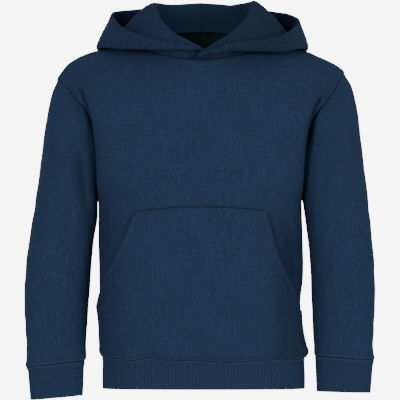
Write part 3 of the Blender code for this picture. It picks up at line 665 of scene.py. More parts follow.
# The sleeve tucks in beside the front of the armhole, where the body bulges over it: how deep, how far from
# the seam it is deepest, how far its shade is felt at the underarm and higher up, and how dark that is.
TUCK_DEPTH = {RIGHT: 1.5 * MM, LEFT: 3.0 * MM}
TUCK_REACH = {RIGHT: 3.0 * MM, LEFT: 4.0 * MM}
TUCK_SHADE_REACH = {RIGHT: (4.0 * MM, 5.0 * MM), LEFT: (5.0 * MM, 9.5 * MM)}
TUCK_SHADE = {RIGHT: 0.78, LEFT: 0.98}
TUCK_TOP = {RIGHT: 0.68, LEFT: 0.63}  # share of the armhole's length where the tuck begins
TUCK_ENDS = (0.08, 0.16)  # shares of that length over which it runs out at the underarm and at its top
TUCK_WIDE = 0.55  # share of that length where its shade is felt as far as higher up
ABOVE_TUCK = 0.7  # share of its length above which the armhole's stitches show

LIP_STEPS = np.array((0.12, 0.35, 0.7, 1.15, 1.7)) * MM  # extra rows where an edge is turned round
LEAST_LIP = 0.06  # share of a wall's half thickness that is left at its very edge
POCKET_LIP = 0.6 * FLEECE  # how far from a turned edge the wall is rounded
RIB_LIP = 0.55 * RIB  # the same on the ribs
LIP_CLEAR = 1.3  # times the last extra row's distance, within which the even rows are left out

# The pocket's edges. Heights are counted from the foot of its slanted openings.
EDGE_SHADE = {"top": 1.4 * MM, "opening": 1.96 * MM}  # how far in their shade is felt
POCKET_SEWN = (-4 * MM, 12 * MM)  # between these heights its side edges come free of the panel
SEWN_REACH = {RIGHT: 24 * MM, LEFT: 42 * MM}  # how far in from those edges it lies close, below its openings
WAIST_CLOSE = 7 * MM  # how far above the waist seam it lies close
LEAST_WALL = 0.25  # share of the cloth's thickness that shows where it lies close
MOUTH_FOOT, MOUTH_TOP = 12 * MM, 6 * MM  # over which the openings' hem fades in at its foot and its top
HEM = 8.5 * MM  # width of the cloth turned in at the openings
HEM_EDGE = 2 * MM  # over which it ends
HEM_RISE = 0.5 * MM  # by which it stands up
GROOVE, GROOVE_WIDTH = 0.3 * MM, 1 * MM  # depth and width of the dip under a row of stitches
TOP_GROOVE = 2.4 * MM  # from the top seam

SEAM_STITCH = 2.5 * MM  # of each row of a twin seam, from the seam
NECK_STITCH = 3 * MM
OPENING_STITCHES = (3 * MM, 7.5 * MM)  # of the two rows beside each opening, from its edge
OPENING_ROWS = (0.2, 1)  # places up the pocket between which they run
# How thick and proud the stitches of each seam look, against the thread's own size.
PROUD = {"waist": 1.5, "cuff": 1.25, "armhole": 0.6, "neck": 1.0, "pocket": 0.6}
STITCH_SECTIONS, STITCH_SIDES = 5, 6
STITCH_ENDS = np.array((0.08, 0.92))  # shares of a stitch's length between which its thread shows
STITCH_TAPER = 0.85  # how much of a thread's section is lost at its ends, which dive into the cloth
STITCH_ARCH, STITCH_DIP = 0.62, 0.22  # how high its middle rises and how deep its ends lie, in thicknesses

# About how long and how far round the pieces are, which sets how many cells their grids have.
PANEL_GIRTH, PANEL_BELOW, PANEL_ABOVE = 380 * MM, 205 * MM, 225 * MM
SLEEVE_LENGTH, SLEEVE_GIRTH = 372 * MM, 300 * MM
WAISTBAND_LENGTH, CUFF_LENGTH = 40 * MM, 44 * MM
POCKET_WIDTH, POCKET_LENGTH = 230 * MM, 190 * MM
HOOD_STAND, HOOD_BACK, HOOD_GIRTH = 60 * MM, 150 * MM, 270 * MM  # up to its top fold, from its roll, round
HOOD_ROWS = (64, 56)  # from the top fold to the bottom roll, and on to the free edge
HOOD_START = -0.06  # where the hood's cloth begins, just under the neck seam
HOOD_SUNK = (1.9 * MM, 6 * MM)  # how deep it lies at that seam, and how far from it that is felt
HOOD_DRAPE = np.array((1.3, 1.0, 1.2))  # pace of its unevenness across, in depth and in height
RIB_COLUMNS = 7  # of each rib
RIB_COUNTED = 0.6  # place down a band where its ribs are spaced evenly
RIB_ROUNDNESS = 0.7  # 1 is a plain wave, less has broader ridges
RIB_HELD = (0.35, 5 * MM)  # share of a rib's depth at its seam, and how far from it the depth is full
RIB_ENDS = 2.5 * MM  # from the open edge, over which the ribs run out


def lengths(grid, axis):
    """Distance travelled along an axis of a grid, from its first row or column."""
    gaps = np.linalg.norm(np.diff(grid, axis=axis), axis=-1)
    start = np.zeros_like(np.take(gaps, [0], axis=axis))
    return np.concatenate([start, np.cumsum(gaps, axis=axis)], axis=axis)


def from_ends(grid, axis):
    """Distance of each grid point from the two ends of an axis."""
    travelled = lengths(grid, axis)
    return travelled, np.take(travelled, [-1], axis=axis) - travelled


def steps(length, low=0.0, high=1.0, lips=(False, False)):
    """Even places from low to high over a length of cloth, closer at an end that has a lip."""
    count = max(2, int(np.ceil(length / CELL)))
    places = np.linspace(0, 1, count + 1)
    near = LIP_STEPS / length
    clear = near[-1] * LIP_CLEAR
    if lips[0]:
        places = np.concatenate([[0], near, places[places > clear]])
    if lips[1]:
        places = np.concatenate([places[places < 1 - clear], 1 - near[::-1], [1]])
    return low + (high - low) * places


def rounds(count):
    """Smoothing rounds that reach as far on a coarse grid as count do on a fine one."""
    return max(1, int(count / FINE ** 2))


def relaxed(grid, weight, count, tube=False):
    """The grid with its interior smoothed count times where weight is 1, and its borders kept."""
    grid = grid.copy()
    weight = np.broadcast_to(weight, grid.shape[:2])[..., None] * SMOOTHING
    for _ in range(count):
        around = np.empty_like(grid)
        around[:, 1:-1] = grid[:, :-2] + grid[:, 2:]
        if tube:
            around[:, 0] = around[:, -1] = grid[:, 1] + grid[:, -2]
        else:
            around[:, 0], around[:, -1] = 2 * grid[:, 0], 2 * grid[:, -1]
        mean = (grid[:-2] + grid[2:] + around[1:-1]) / 4
        inner = grid[1:-1]
        kept = slice(None) if tube else slice(1, -1)
        inner[:, kept] += (mean - inner)[:, kept] * weight[1:-1, kept]
    return grid


def distance_to_line(places, line):
    """Distance of flat places to a smooth line through a few points, and the share of the line's length."""
    knots = np.arange(len(line))
    fine = curve(knots, np.array(line, float) * MM, np.linspace(0, len(line) - 1, 12 * len(line)))
    best = np.full(places.shape[:-1], np.inf)
    share = np.zeros_like(best)
    for index, (start, end) in enumerate(zip(fine[:-1], fine[1:])):
        along = end - start
        part = np.clip((places - start) @ along / (along @ along), 0, 1)
        apart = np.linalg.norm(places - start - part[..., None] * along, axis=-1)
        closer = apart < best
        best = np.where(closer, apart, best)
        share = np.where(closer, (index + part) / (len(fine) - 1), share)
    return best, share


def folded(points):
    """Points of the cloth pressed in along the folds of their side, with a soft ridge beside each trough, and
    their shade."""
    points = points.copy()
    shade = np.zeros(points.shape[:-1])
    views = {
        "front": (points[..., (0, 2)], ease(-points[..., 1] / FOLD_FADE), (0, 1, 0)),
        "back": (points[..., (0, 2)], ease(points[..., 1] / FOLD_FADE), (0, -1, 0)),
        "side": (points[..., (1, 2)], between(np.abs(points[..., 0]), *SIDE_FOLDS), (-1, 0, 0)),
    }
    ridge, ridge_place, ridge_width = RIDGE
    for view, (places, weight, inwards) in views.items():
        push = np.zeros(points.shape[:-1])
        for width, depth, line in FOLDS[view]:
            apart, share = distance_to_line(places, line)
            across = apart / (width * MM)
            trough = np.exp(-across**2) - ridge * np.exp(-((across - ridge_place) / ridge_width) ** 2)
            push += depth * MM * trough * ease(share / FOLD_ENDS) * ease((1 - share) / FOLD_ENDS)
        inward = np.array(inwards, float) * (np.sign(points[..., :1]) if view == "side" else 1)
        points += (push * weight)[..., None] * inward
        shade += (np.clip(push, 0, DARK_FOLD) * weight / DARK_FOLD) ** 2
    return points, shade


def drape(points, kind):
    """A slow unevenness of the cloth, a sum of a few waves over its place."""
    x, y, z = np.moveaxis(points, -1, 0)
    waves = (
        np.sin(x * 62 + 0.7 + 3 * y) * np.sin(z * 47 + 1.3)
        + 0.7 * np.sin(x * 110 - z * 38 + 2.1 + 20 * y)
        + 0.5 * np.sin(z * 150 + x * 71 + 0.4 - 35 * y)
        + 0.35 * np.sin(x * 205 + z * 33 + 4.0)
    )
    return waves * DRAPE[kind]


def away_from(seams, kind):
    """0 on the seams of a piece, and 1 where its unevenness is felt in full."""
    return ease(np.minimum.reduce(seams) / DRAPE_FADE[kind])


def waved(points):
    """Points moved up or down with the waves of the waist seam."""
    points = points.copy()
    near = ease(1 - np.abs(points[..., 2] - WAIST_SEAM) / WAVE_REACH)
    for face, here in ((FRONT, points[..., 1] < 0), (BACK, points[..., 1] >= 0)):
        waves = np.array(WAVES[face])[:, None] * WAVE_HEIGHT
        lift = curve(WAVE_PLACES, waves, np.clip(points[..., 0], *WAVE_PLACES[[0, -1]]))[..., 0]
        points[..., 2] += np.where(here, lift * near, 0)
    return points


def puff(distance):
    """How far the cloth stands up at a distance from a seam: nothing on it, most at the row of stitches."""
    share = distance / PUFF_PLACE
    return PUFF * share * np.exp(1 - share)


def gathers(places, distance, kind, seed):
    """Small uneven puckers where a fuller edge is eased onto a rib."""
    reach, depth = GATHERS[kind]
    uneven = sum(height * np.sin(places * pace + shift * seed) for pace, height, shift in PUCKERS)
    return depth * uneven * np.exp(-((distance / reach) ** 2)) * ease(distance / PUCKER_FADE)


def ditch(distance, seam):
    """Shade of the cloth at a distance from a seam."""
    dark, reach = SEAM_SHADE[seam]
    return dark * np.exp(-distance / reach)


def turned_away(points):
    """Shade of the body's front where it turns away towards the sides."""
    sides = [
        SIDE_SHADE[side] * between(side * points[..., 0], *SIDE_SHADE_REACH[side]) for side in (RIGHT, LEFT)
    ]
    return sum(sides) * between(points[..., 2], *SIDE_SHADE_HEIGHTS) * (points[..., 1] < 0)


def tucked(side, around, armhole):
    """Depth and shade of the sleeve's tuck beside the front of the armhole."""
    span = ease(around / TUCK_ENDS[0]) * ease((TUCK_TOP[side] - around) / TUCK_ENDS[1])
    share = armhole / TUCK_REACH[side]
    low, high = TUCK_SHADE_REACH[side]
    reach = low + (high - low) * ease(around / TUCK_WIDE)
    return (
        TUCK_DEPTH[side] * share * np.exp(1 - share) * span,
        TUCK_SHADE[side] * np.exp(-((armhole / reach) ** 2)) * span,
    )


def lip(distance, radius):
    """Share of a wall's half thickness that is left near a turned edge, so that the edge is round."""
    share = np.clip(distance / radius, 0, 1)
    return np.maximum(np.sqrt(1 - (1 - share) ** 2), LEAST_LIP)


def turned_offsets(low, high, round_share):
    """Outer and inner distances of a wall whose edges are rounded by a share of its half thickness."""
    middle, half = (low + high) / 2, (high - low) / 2
    return middle + half * round_share, middle - half * round_share


def add_object(name, data):
    """A mesh, light or camera as an object of the scene."""
    made = bpy.data.objects.new(name, data)
    bpy.context.scene.collection.objects.link(made)
    return made


def signed_volume(mesh):
    """Volume inside a mesh, negative if it is inside out."""
    mesh.calc_loop_triangles()
    points = np.empty(len(mesh.vertices) * 3)
    mesh.vertices.foreach_get("co", points)
    corners = np.empty(len(mesh.loop_triangles) * 3, int)
    mesh.loop_triangles.foreach_get("vertices", corners)
    a, b, c = np.moveaxis(points.reshape(-1, 3)[corners.reshape(-1, 3)], 1, 0)
    return np.einsum("ij,ij->", a, np.cross(b, c)) / 6


def add_closed(name, mesh, materials):
    """A smooth closed mesh in the scene, with its faces pointing out."""
    for material in materials:
        mesh.materials.append(material)
    mesh.shade_smooth()
    mesh.update()
    if signed_volume(mesh) < 0:
        mesh.flip_normals()
    return add_object(name, mesh)


def cloth_mesh(name, grid, normals, offsets, spots, materials, tube=False):
    """A closed wall round a grid. offsets are the outer and inner distances along the normals, and spots the
    cloth's own places and shade, which the weave follows. The first material faces out, the second in."""
    rows, columns = grid.shape[:2]
    used = columns - 1 if tube else columns
    layers = [(grid + normals * np.asarray(offset)[..., None])[:, :used].reshape(-1, 3) for offset in offsets]
    index = np.arange(rows)[:, None] * used + np.arange(columns)[None, :] % used
    down, along = (cells.ravel() for cells in np.meshgrid(range(rows - 1), range(columns - 1), indexing="ij"))
    corners = (down, along), (down, along + 1), (down + 1, along + 1), (down + 1, along)
    quads = np.stack([index[corner] for corner in corners], 1)
    quad_spots = np.stack([spots[corner] for corner in corners], 1)
    faces, spot_rows = [quads, quads[:, ::-1] + rows * used], [quad_spots, quad_spots[:, ::-1]]
    inside = [0 * down, 0 * down + 1]

    def rim(row, column):
        """Closes the wall along a line of grid places."""
        outer, spot = index[row, column], spots[row, column]
        faces.append(np.stack([outer[1:], outer[:-1], outer[:-1] + rows * used, outer[1:] + rows * used], 1))
        spot_rows.append(np.stack([spot[1:], spot[:-1], spot[:-1], spot[1:]], 1))
        inside.append(np.zeros(len(outer) - 1, int))

    all_rows, all_columns = np.arange(rows), np.arange(columns)
    rim(0 * all_columns, all_columns)
    rim(0 * all_columns + rows - 1, all_columns[::-1])
    if not tube:
        rim(all_rows[::-1], 0 * all_rows)
        rim(all_rows, 0 * all_rows + columns - 1)
    mesh = bpy.data.meshes.new(name)
    mesh.from_pydata(np.concatenate(layers).tolist(), [], np.concatenate(faces).tolist())
    spot = mesh.attributes.new("cloth", "FLOAT_VECTOR", "CORNER")
    spot.data.foreach_set("vector", np.concatenate(spot_rows).astype(np.float32).ravel())
    mesh.polygons.foreach_set("material_index", np.concatenate(inside))
    return add_closed(name, mesh, materials)


def cloth_spots(grid, shade, middle=None):
    """The cloth's own places at a grid's points, across from its middle column and along, and its shade."""
    across, along = lengths(grid, 1), lengths(grid, 0)
    middle = grid.shape[1] // 2 if middle is None else middle
    return np.stack(np.broadcast_arrays(across - across[:, middle:middle + 1], along, shade), -1)


def keep(name, grid, normals, down, along):
    PIECES[name] = {"grid": grid, "normals": normals, "down": down, "along": along}


def finish_piece(piece, node):
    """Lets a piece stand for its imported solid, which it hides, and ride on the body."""
    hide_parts(node)
    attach(piece, "root")


class Weave:
    """Node-building helpers for one cloth material whose weave follows the cloth's own places."""

    def __init__(self, name, colour, roughness, sheen):
        self.material = bpy.data.materials.new(name)
        self.material.use_nodes = True
        self.tree = self.material.node_tree
        self.shader = self.tree.nodes["Principled BSDF"]
        self.colour = colour
        self.shader.inputs["Base Color"].default_value = (*colour, 1.0)
        self.shader.inputs["Roughness"].default_value = roughness
        self.shader.inputs["Diffuse Roughness"].default_value = 0.1
        self.shader.inputs["Specular IOR Level"].default_value = 0.18
        self.shader.inputs["Sheen Weight"].default_value = sheen
        self.shader.inputs["Sheen Roughness"].default_value = 0.55
        self.shader.inputs["Sheen Tint"].default_value = (0.35, 0.5, 0.8, 1.0)
        spot = self.tree.nodes.new("ShaderNodeAttribute")
        spot.attribute_name = "cloth"
        split = self.tree.nodes.new("ShaderNodeSeparateXYZ")
        self.spot = spot.outputs["Vector"]
        self.tree.links.new(self.spot, split.inputs[0])
        self.across, self.along, self.shade = split.outputs

    def math(self, operation, first, second=0.0, third=0.0):
        node = self.tree.nodes.new("ShaderNodeMath")
        node.operation = operation
        for socket, value in zip(node.inputs, (first, second, third)):
            if isinstance(value, bpy.types.NodeSocket):
                self.tree.links.new(value, socket)
            else:
                socket.default_value = value
        return node.outputs[0]

    def noise(self, across, along, detail=2.0, roughness=0.5):
        """Noise of this many cells per metre across and along the cloth."""
        scale = self.tree.nodes.new("ShaderNodeVectorMath")
        scale.operation = "MULTIPLY"
        self.tree.links.new(self.spot, scale.inputs[0])
        scale.inputs[1].default_value = (across, along, 1.0)
        node = self.tree.nodes.new("ShaderNodeTexNoise")
        node.inputs["Scale"].default_value = 1.0
        node.inputs["Detail"].default_value = detail
        node.inputs["Roughness"].default_value = roughness
        self.tree.links.new(scale.outputs[0], node.inputs["Vector"])
        return node.outputs["Fac"]

    def slub(self, along=300):
        """Thick and thin places of the yarn."""
        return self.noise(430, along, detail=4, roughness=0.75)

    def speckle(self):
        """Stray fibres, finer than a loop."""
        return self.noise(800, 700, detail=2, roughness=0.7)

    def loops(self, wale, course):
        """Height of knitted loops: columns one wale wide, of slanting legs one course high."""
        column = self.math("FRACT", self.math("DIVIDE", self.across, wale))
        beside = self.math("MULTIPLY", self.math("ABSOLUTE", self.math("SUBTRACT", column, 0.5)), 2.0)
        slant = self.math("MULTIPLY", beside, 0.55)
        row = self.math("SUBTRACT", self.math("DIVIDE", self.along, course), slant)
        legs = self.math("SINE", self.math("MULTIPLY", row, 2 * np.pi))
        leg = self.math("MULTIPLY_ADD", legs, 0.22, 0.78)
        ridge = self.math("SUBTRACT", 1.0, self.math("POWER", beside, 2.4))
        return self.math("MULTIPLY", ridge, leg)

    def tint(self, factors):
        """Multiplies the colour by the painted shade that the cloth carries, at seams, folds, tucks, pocket
        edges, the hood's rolls and the body's sides, and by factors, each noise or height with its low and
        high share."""
        product = self.math("MAXIMUM", self.math("MULTIPLY_ADD", self.shade, -0.75, 1.0), 0.05)
        for value, low, high in factors:
            node = self.tree.nodes.new("ShaderNodeMapRange")
            self.tree.links.new(value, node.inputs["Value"])
            for socket, end in (("From Min", 0.25), ("From Max", 0.75), ("To Min", low), ("To Max", high)):
                node.inputs[socket].default_value = end
            product = self.math("MULTIPLY", product, node.outputs["Result"])
        scale = self.tree.nodes.new("ShaderNodeVectorMath")
        scale.operation = "SCALE"
        scale.inputs[0].default_value = self.colour
        self.tree.links.new(product, scale.inputs["Scale"])
        self.tree.links.new(scale.outputs[0], self.shader.inputs["Base Color"])

    def bump(self, distance, strength, height, *finer):
        """Raises the surface by a height and by finer ones, each with its share."""
        for share, more in finer:
            height = self.math("MULTIPLY_ADD", more, share, height)
        node = self.tree.nodes.new("ShaderNodeBump")
        node.inputs["Distance"].default_value = distance
        node.inputs["Strength"].default_value = strength
        self.tree.links.new(height, node.inputs["Height"])
        self.tree.links.new(node.outputs[0], self.shader.inputs["Normal"])
        return self.material


def sweatshirt_face(colours, sizes):
    """The smooth outer face of sweatshirt cloth: fine wales, a little slub and a short nap."""
    weave = Weave("sweatshirt_face", colours.fleece, 0.9, 0.05)
    loops = weave.loops(sizes.wale, sizes.wale * COURSE_SHARE)
    slub, speckle = weave.slub(), weave.speckle()
    streaks, patches = weave.noise(420, 36), weave.noise(26, 20)
    weave.tint([
        (loops, 0.86, 1.08), (slub, 0.58, 1.42), (streaks, 0.86, 1.14), (speckle, 0.65, 1.35),
        (patches, 0.95, 1.05),
    ])
    return weave.bump(0.35 * MM, 0.55, loops, (0.5, speckle), (0.5, slub))


def brushed_inside(colours, sizes):
    """The brushed inner face: a matted nap with no wales."""
    weave = Weave("brushed_inside", colours.inside, 0.97, 0.06)
    nap = weave.noise(620, 620, detail=4, roughness=0.7)
    mats = weave.noise(120, 120, detail=3)
    weave.tint([(nap, 0.82, 1.2), (mats, 0.9, 1.1)])
    return weave.bump(0.6 * MM, 0.8, nap, (0.7, mats))


def hood_lining_face(colours, sizes):
    """The hood's lining, a jersey with its face showing."""
    weave = Weave("hood_lining_face", colours.lining, 0.9, 0.04)
    loops = weave.loops(sizes.wale, sizes.wale * COURSE_SHARE)
    slub, speckle = weave.slub(), weave.speckle()
    weave.tint([(loops, 0.88, 1.07), (slub, 0.8, 1.2), (speckle, 0.85, 1.15)])
    return weave.bump(0.3 * MM, 0.5, loops, (0.5, speckle))


def rib_face(colours, sizes):
    """Rib knit: loops on every ridge, painted highlight on the ridges and painted shade in the valleys
    between.
    """
    weave = Weave("rib_face", colours.rib, 0.9, 0.05)
    loops = weave.loops(sizes.waist_rib / 2, sizes.wale * COURSE_SHARE)
    slub, speckle = weave.slub(280), weave.speckle()
    # ridge paints highlight on the ribs' ridges and shade in the valleys between them
    turn = weave.math("MULTIPLY", weave.across, 2 * np.pi / sizes.waist_rib)
    ridge = weave.math("MULTIPLY_ADD", weave.math("COSINE", turn), 0.25, 0.5)
    weave.tint([(ridge, 0.84, 1.1), (loops, 0.84, 1.08), (slub, 0.68, 1.32), (speckle, 0.7, 1.3)])
    return weave.bump(0.35 * MM, 0.6, loops, (0.4, speckle))


def sewing_thread(colours, sizes):
    """Slightly lustrous polyester thread."""
    weave = Weave("sewing_thread", colours.thread, 0.5, 0.1)
    ply = weave.noise(3000, 800, detail=1)
    weave.tint([(ply, 0.85, 1.15)])
    return weave.bump(0.05 * MM, 0.3, ply)


def make_panel(face, materials):
    name = "front_panel" if face == FRONT else "back_panel"
    across = steps(PANEL_GIRTH, -1, 1)
    up = np.concatenate([steps(PANEL_BELOW), steps(PANEL_ABOVE, 1, 2)[1:]])
    grid = panel(face, across[None, :], up[:, None])
    grid = relaxed(grid, between(up, *PANEL_SMOOTH)[:, None], rounds(16))
    normals = unit_normals(grid, -face)
    waist, top = from_ends(grid, 0)
    side = np.minimum(*from_ends(grid, 1))
    raised = puff(waist) + puff(top) + FLAT_PUFF * puff(side)
    raised += gathers(grid[..., 0] + face, waist, "panel", 1.0 + face)
    raised += drape(grid, "panel") * away_from((waist, top, side), "panel")
    grid, fold_shade = folded(grid + normals * raised[..., None])
    grid = waved(grid)
    normals = unit_normals(grid, -face)
    keep(name, grid, normals, up, across)
    shade = fold_shade + ditch(waist, "waist") + ditch(top, "neck") + ditch(side, "side") + turned_away(grid)
    wall = (0 * waist, 0 * waist - FLEECE)
    piece = cloth_mesh(name + "_cloth", grid, normals, wall, cloth_spots(grid, shade), materials)
    finish_piece(piece, name)


def make_sleeve(side, materials):
    name = "sleeve_" + side_name(side)
    down, around = steps(SLEEVE_LENGTH), steps(SLEEVE_GIRTH, 0, 2)
    grid = sleeve(side, down[:, None], around[None, :])
    inner = between(down, *SLEEVE_SMOOTH[:2]) * between(down, *SLEEVE_SMOOTH[2:])
    grid = relaxed(grid, inner[:, None], rounds(10), tube=True)
    normals = unit_normals(grid, -side, tube=True)
    armhole, wrist = from_ends(grid, 0)
    under = np.minimum(*from_ends(grid, 1))
    tuck, tuck_shade = tucked(side, around[None, :], armhole)
    raised = FLAT_PUFF * puff(armhole) + puff(wrist) + UNDERARM_PUFF * puff(under) - tuck
    raised += gathers(around[None, :] * HALF_GIRTH, wrist, "sleeve", 2.0 + side)
    raised += (drape(grid, "sleeve") + SHRINK) * away_from((armhole, wrist), "sleeve")
    grid, fold_shade = folded(grid + normals * raised[..., None])
    grid = waved(grid)
    normals = unit_normals(grid, -side, tube=True)
    keep(name, grid, normals, down, around)
    shade = fold_shade + tuck_shade
    shade += ditch(armhole, "armhole") + ditch(wrist, "wrist") + ditch(under, "underarm")
    wall = (0 * wrist, 0 * wrist - FLEECE)
    piece = cloth_mesh(name + "_cloth", grid, normals, wall, cloth_spots(grid, shade), materials, tube=True)
    finish_piece(piece, name)


def rib_columns(ring, pitch):
    """Places round a closed ring, even along its length, for ribs of about this pitch, and their ribs."""
    fine = np.linspace(0, 1, 2001)
    travelled = lengths(ring(fine)[None], 1)[0]
    count = int(round(travelled[-1] / pitch))
    even = np.linspace(0, 1, count * RIB_COLUMNS + 1)
    return np.interp(even * travelled[-1], travelled, fine), even * count


def make_rib(name, shape, span, turn, length, pitch, sizes, materials):
    """A ribbed band. shape gives its outer face for places down and around, and around goes through span."""
    low, high = span
    share, rib = rib_columns(lambda at: shape(RIB_COUNTED + 0 * at, low + (high - low) * at), pitch)
    around = low + (high - low) * share
    down = steps(length, lips=(False, True))
    grid, fold_shade = folded(shape(down[:, None], around[None, :]))
    grid = waved(grid)
    normals = unit_normals(grid, turn, tube=True)
    seam, hem = from_ends(grid, 0)
    level = grid + normals * (puff(seam) * RIB_PUFF)[..., None]
    keep(name, level, normals, down, around)
    ridge = ((0.5 + 0.5 * np.cos(2 * np.pi * rib))[None, :] ** RIB_ROUNDNESS - 1) * sizes.rib_depth
    least, full = RIB_HELD
    ends = (least + (1 - least) * ease(seam / full)) * ease(hem / RIB_ENDS + least)
    grid = grid + normals * (puff(seam) * RIB_PUFF + ridge * ends)[..., None]
    outer, inner = turned_offsets(-RIB, 0, lip(hem, RIB_LIP))
    spots = cloth_spots(grid, fold_shade + ditch(seam, "rib"))
    spots[..., 0] = rib[None, :] * sizes.waist_rib
    piece = cloth_mesh(name + "_cloth", grid, normals, (outer, inner - ridge), spots, materials, tube=True)
    finish_piece(piece, name)


def sampled(name, down, along):
    """Points and normals of a finished piece at places of its own grid."""
    piece = PIECES[name]
    rows = np.interp(down, piece["down"], np.arange(len(piece["down"])))
    columns = np.interp(along, piece["along"], np.arange(len(piece["along"])))
    row = np.clip(rows.astype(int), 0, len(piece["down"]) - 2)
    column = np.clip(columns.astype(int), 0, len(piece["along"]) - 2)
    right, below = (columns - column)[..., None], (rows - row)[..., None]

    def mixed(values):
        upper = values[row, column] * (1 - right) + values[row, column + 1] * right
        lower = values[row + 1, column] * (1 - right) + values[row + 1, column + 1] * right
        return upper * (1 - below) + lower * below

    return mixed(piece["grid"]), unit(mixed(piece["normals"]))


def make_pocket(materials):
    along = steps(POCKET_WIDTH, -1, 1, lips=(True, True))
    up = steps(POCKET_LENGTH, lips=(False, True))
    across, rise, out = pocket(along[None, :], up[:, None])
    base, normals = sampled("front_panel", rise, across)
    grid = base + normals * out[..., None]
    side = np.minimum(*from_ends(grid, 1))
    waist, top = from_ends(grid, 0)
    feet, reaches = (
        np.where(on_side(along, RIGHT), *pair)[None, :]
        for pair in (
            [POCKET_EDGE[end]["height"][0] for end in (RIGHT, LEFT)],
            [SEWN_REACH[end] for end in (RIGHT, LEFT)],
        )
    )
    height = grid[..., 2] - feet
    mouth = ease(height / MOUTH_FOOT) * ease(top / MOUTH_TOP)
    hem = HEM_RISE * (1 - between(side, HEM, HEM + HEM_EDGE)) * mouth
    beside_opening = np.exp(-(((side - OPENING_STITCHES[1]) / GROOVE_WIDTH) ** 2)) * mouth
    below_top = np.exp(-(((top - TOP_GROOVE) / GROOVE_WIDTH) ** 2))
    sewn = 1 - between(height, *POCKET_SEWN)
    settle = ease(waist / WAIST_CLOSE) * (1 - sewn * (1 - ease(side / reaches)))
    grid = base + normals * (out * settle + hem - GROOVE * (beside_opening + below_top))[..., None]
    normals = unit_normals(grid, 1)
    outer, inner = turned_offsets(0, FLEECE, lip(np.minimum(side, top), POCKET_LIP))
    outer = outer * (LEAST_WALL + (1 - LEAST_WALL) * settle)
    keep("kangaroo_pocket", grid + normals * outer[..., None], normals, up, along)
    shade = turned_away(grid) + np.maximum(
        np.exp(-((top / EDGE_SHADE["top"]) ** 2)), np.exp(-((side / EDGE_SHADE["opening"]) ** 2)) * mouth
    )
    wall = (outer, inner * settle)
    piece = cloth_mesh("kangaroo_pocket_cloth", grid, normals, wall, cloth_spots(grid, shade), materials)
    finish_piece(piece, "kangaroo_pocket")


def hood_rows():
    """Places from just under the neck seam to the free edge, closer at the top fold and the bottom roll."""
    scale = FINE
    to_roll, to_edge = (np.linspace(0, 1, count // scale + 1)[1:] for count in HOOD_ROWS)
    fall = 1 + (1 - np.cos(np.pi * to_roll)) / 2
    back = 3 - np.cos(np.pi / 2 * to_edge)
    near = LIP_STEPS[::-1] / HOOD_BACK
    back = back[back < 3 - near[0] * LIP_CLEAR]
    return np.concatenate([steps(HOOD_STAND, HOOD_START, 1), fall, back, 3 - near, [3]])


def make_hood(side, faces):
    """Both layers of half the hood. faces gives the outer layer's materials and the lining's."""
    around, up = steps(HOOD_GIRTH), hood_rows()
    grid = hood(side, around[None, :], up[:, None])
    grid = relaxed(grid, 1.0, rounds(3))
    normals = unit_normals(grid, side)
    neck_edge, free = from_ends(grid, 0)
    middle_back = from_ends(grid, 1)[1]
    depth, reach = HOOD_SUNK
    raised = drape(grid * HOOD_DRAPE + side, "hood") * away_from((neck_edge, middle_back), "hood")
    raised -= depth * np.exp(-((neck_edge / reach) ** 2))
    grid = grid + normals * raised[..., None]
    normals = unit_normals(grid, side)
    half = LAYER_GAP / 2 + HOOD_LAYER
    far = half * lip(free, half)
    near = np.minimum(LAYER_GAP / 2, far / 2)
    seam = FLAT_PUFF * puff(middle_back)
    fades = {"outer": 1 - between(around[None, :], *HOOD_SHADE_ENDS), "lining": 1}
    layers = (("outer", 1, "fleece", faces[0]), ("lining", -1, "lining", faces[1]))
    for layer, sign, slot, materials in layers:
        name = "hood_" + layer + "_" + side_name(side)
        keep(name, grid + normals * (sign * far)[..., None], normals * sign, up, around)
        shade = ditch(neck_edge, "neck") + ditch(middle_back, "side") + HOOD_SHADE[side] * fades[layer]
        wall = (sign * (far + seam), sign * near)
        piece = cloth_mesh(name + "_cloth", grid, normals, wall, cloth_spots(grid, shade, 0), materials)
        finish_piece(piece, name)


def line_beside(name, border, distance, span=None):
    """Points and normals along a border of a finished piece, a distance in from it, within a span of its
    places."""
    piece = PIECES[name]
    grid, normals, places = piece["grid"], piece["normals"], piece["along"]
    if border in ("first_column", "last_column"):
        grid, normals, places = grid.swapaxes(0, 1), normals.swapaxes(0, 1), piece["down"]
    if border.startswith("last"):
        grid, normals = grid[::-1], normals[::-1]
    travelled = lengths(grid, 0)
    row = np.clip((travelled < distance).sum(0), 1, len(grid) - 1)
    column = np.arange(grid.shape[1])
    low, high = travelled[row - 1, column], travelled[row, column]
    part = np.clip((distance - low) / np.maximum(high - low, 1e-9), 0, 1)[:, None]
    points = grid[row - 1, column] * (1 - part) + grid[row, column] * part
    normals = unit(normals[row, column])
    if span is not None:
        within = (places >= span[0]) & (places <= span[1])
        points, normals = points[within], normals[within]
    return points, normals


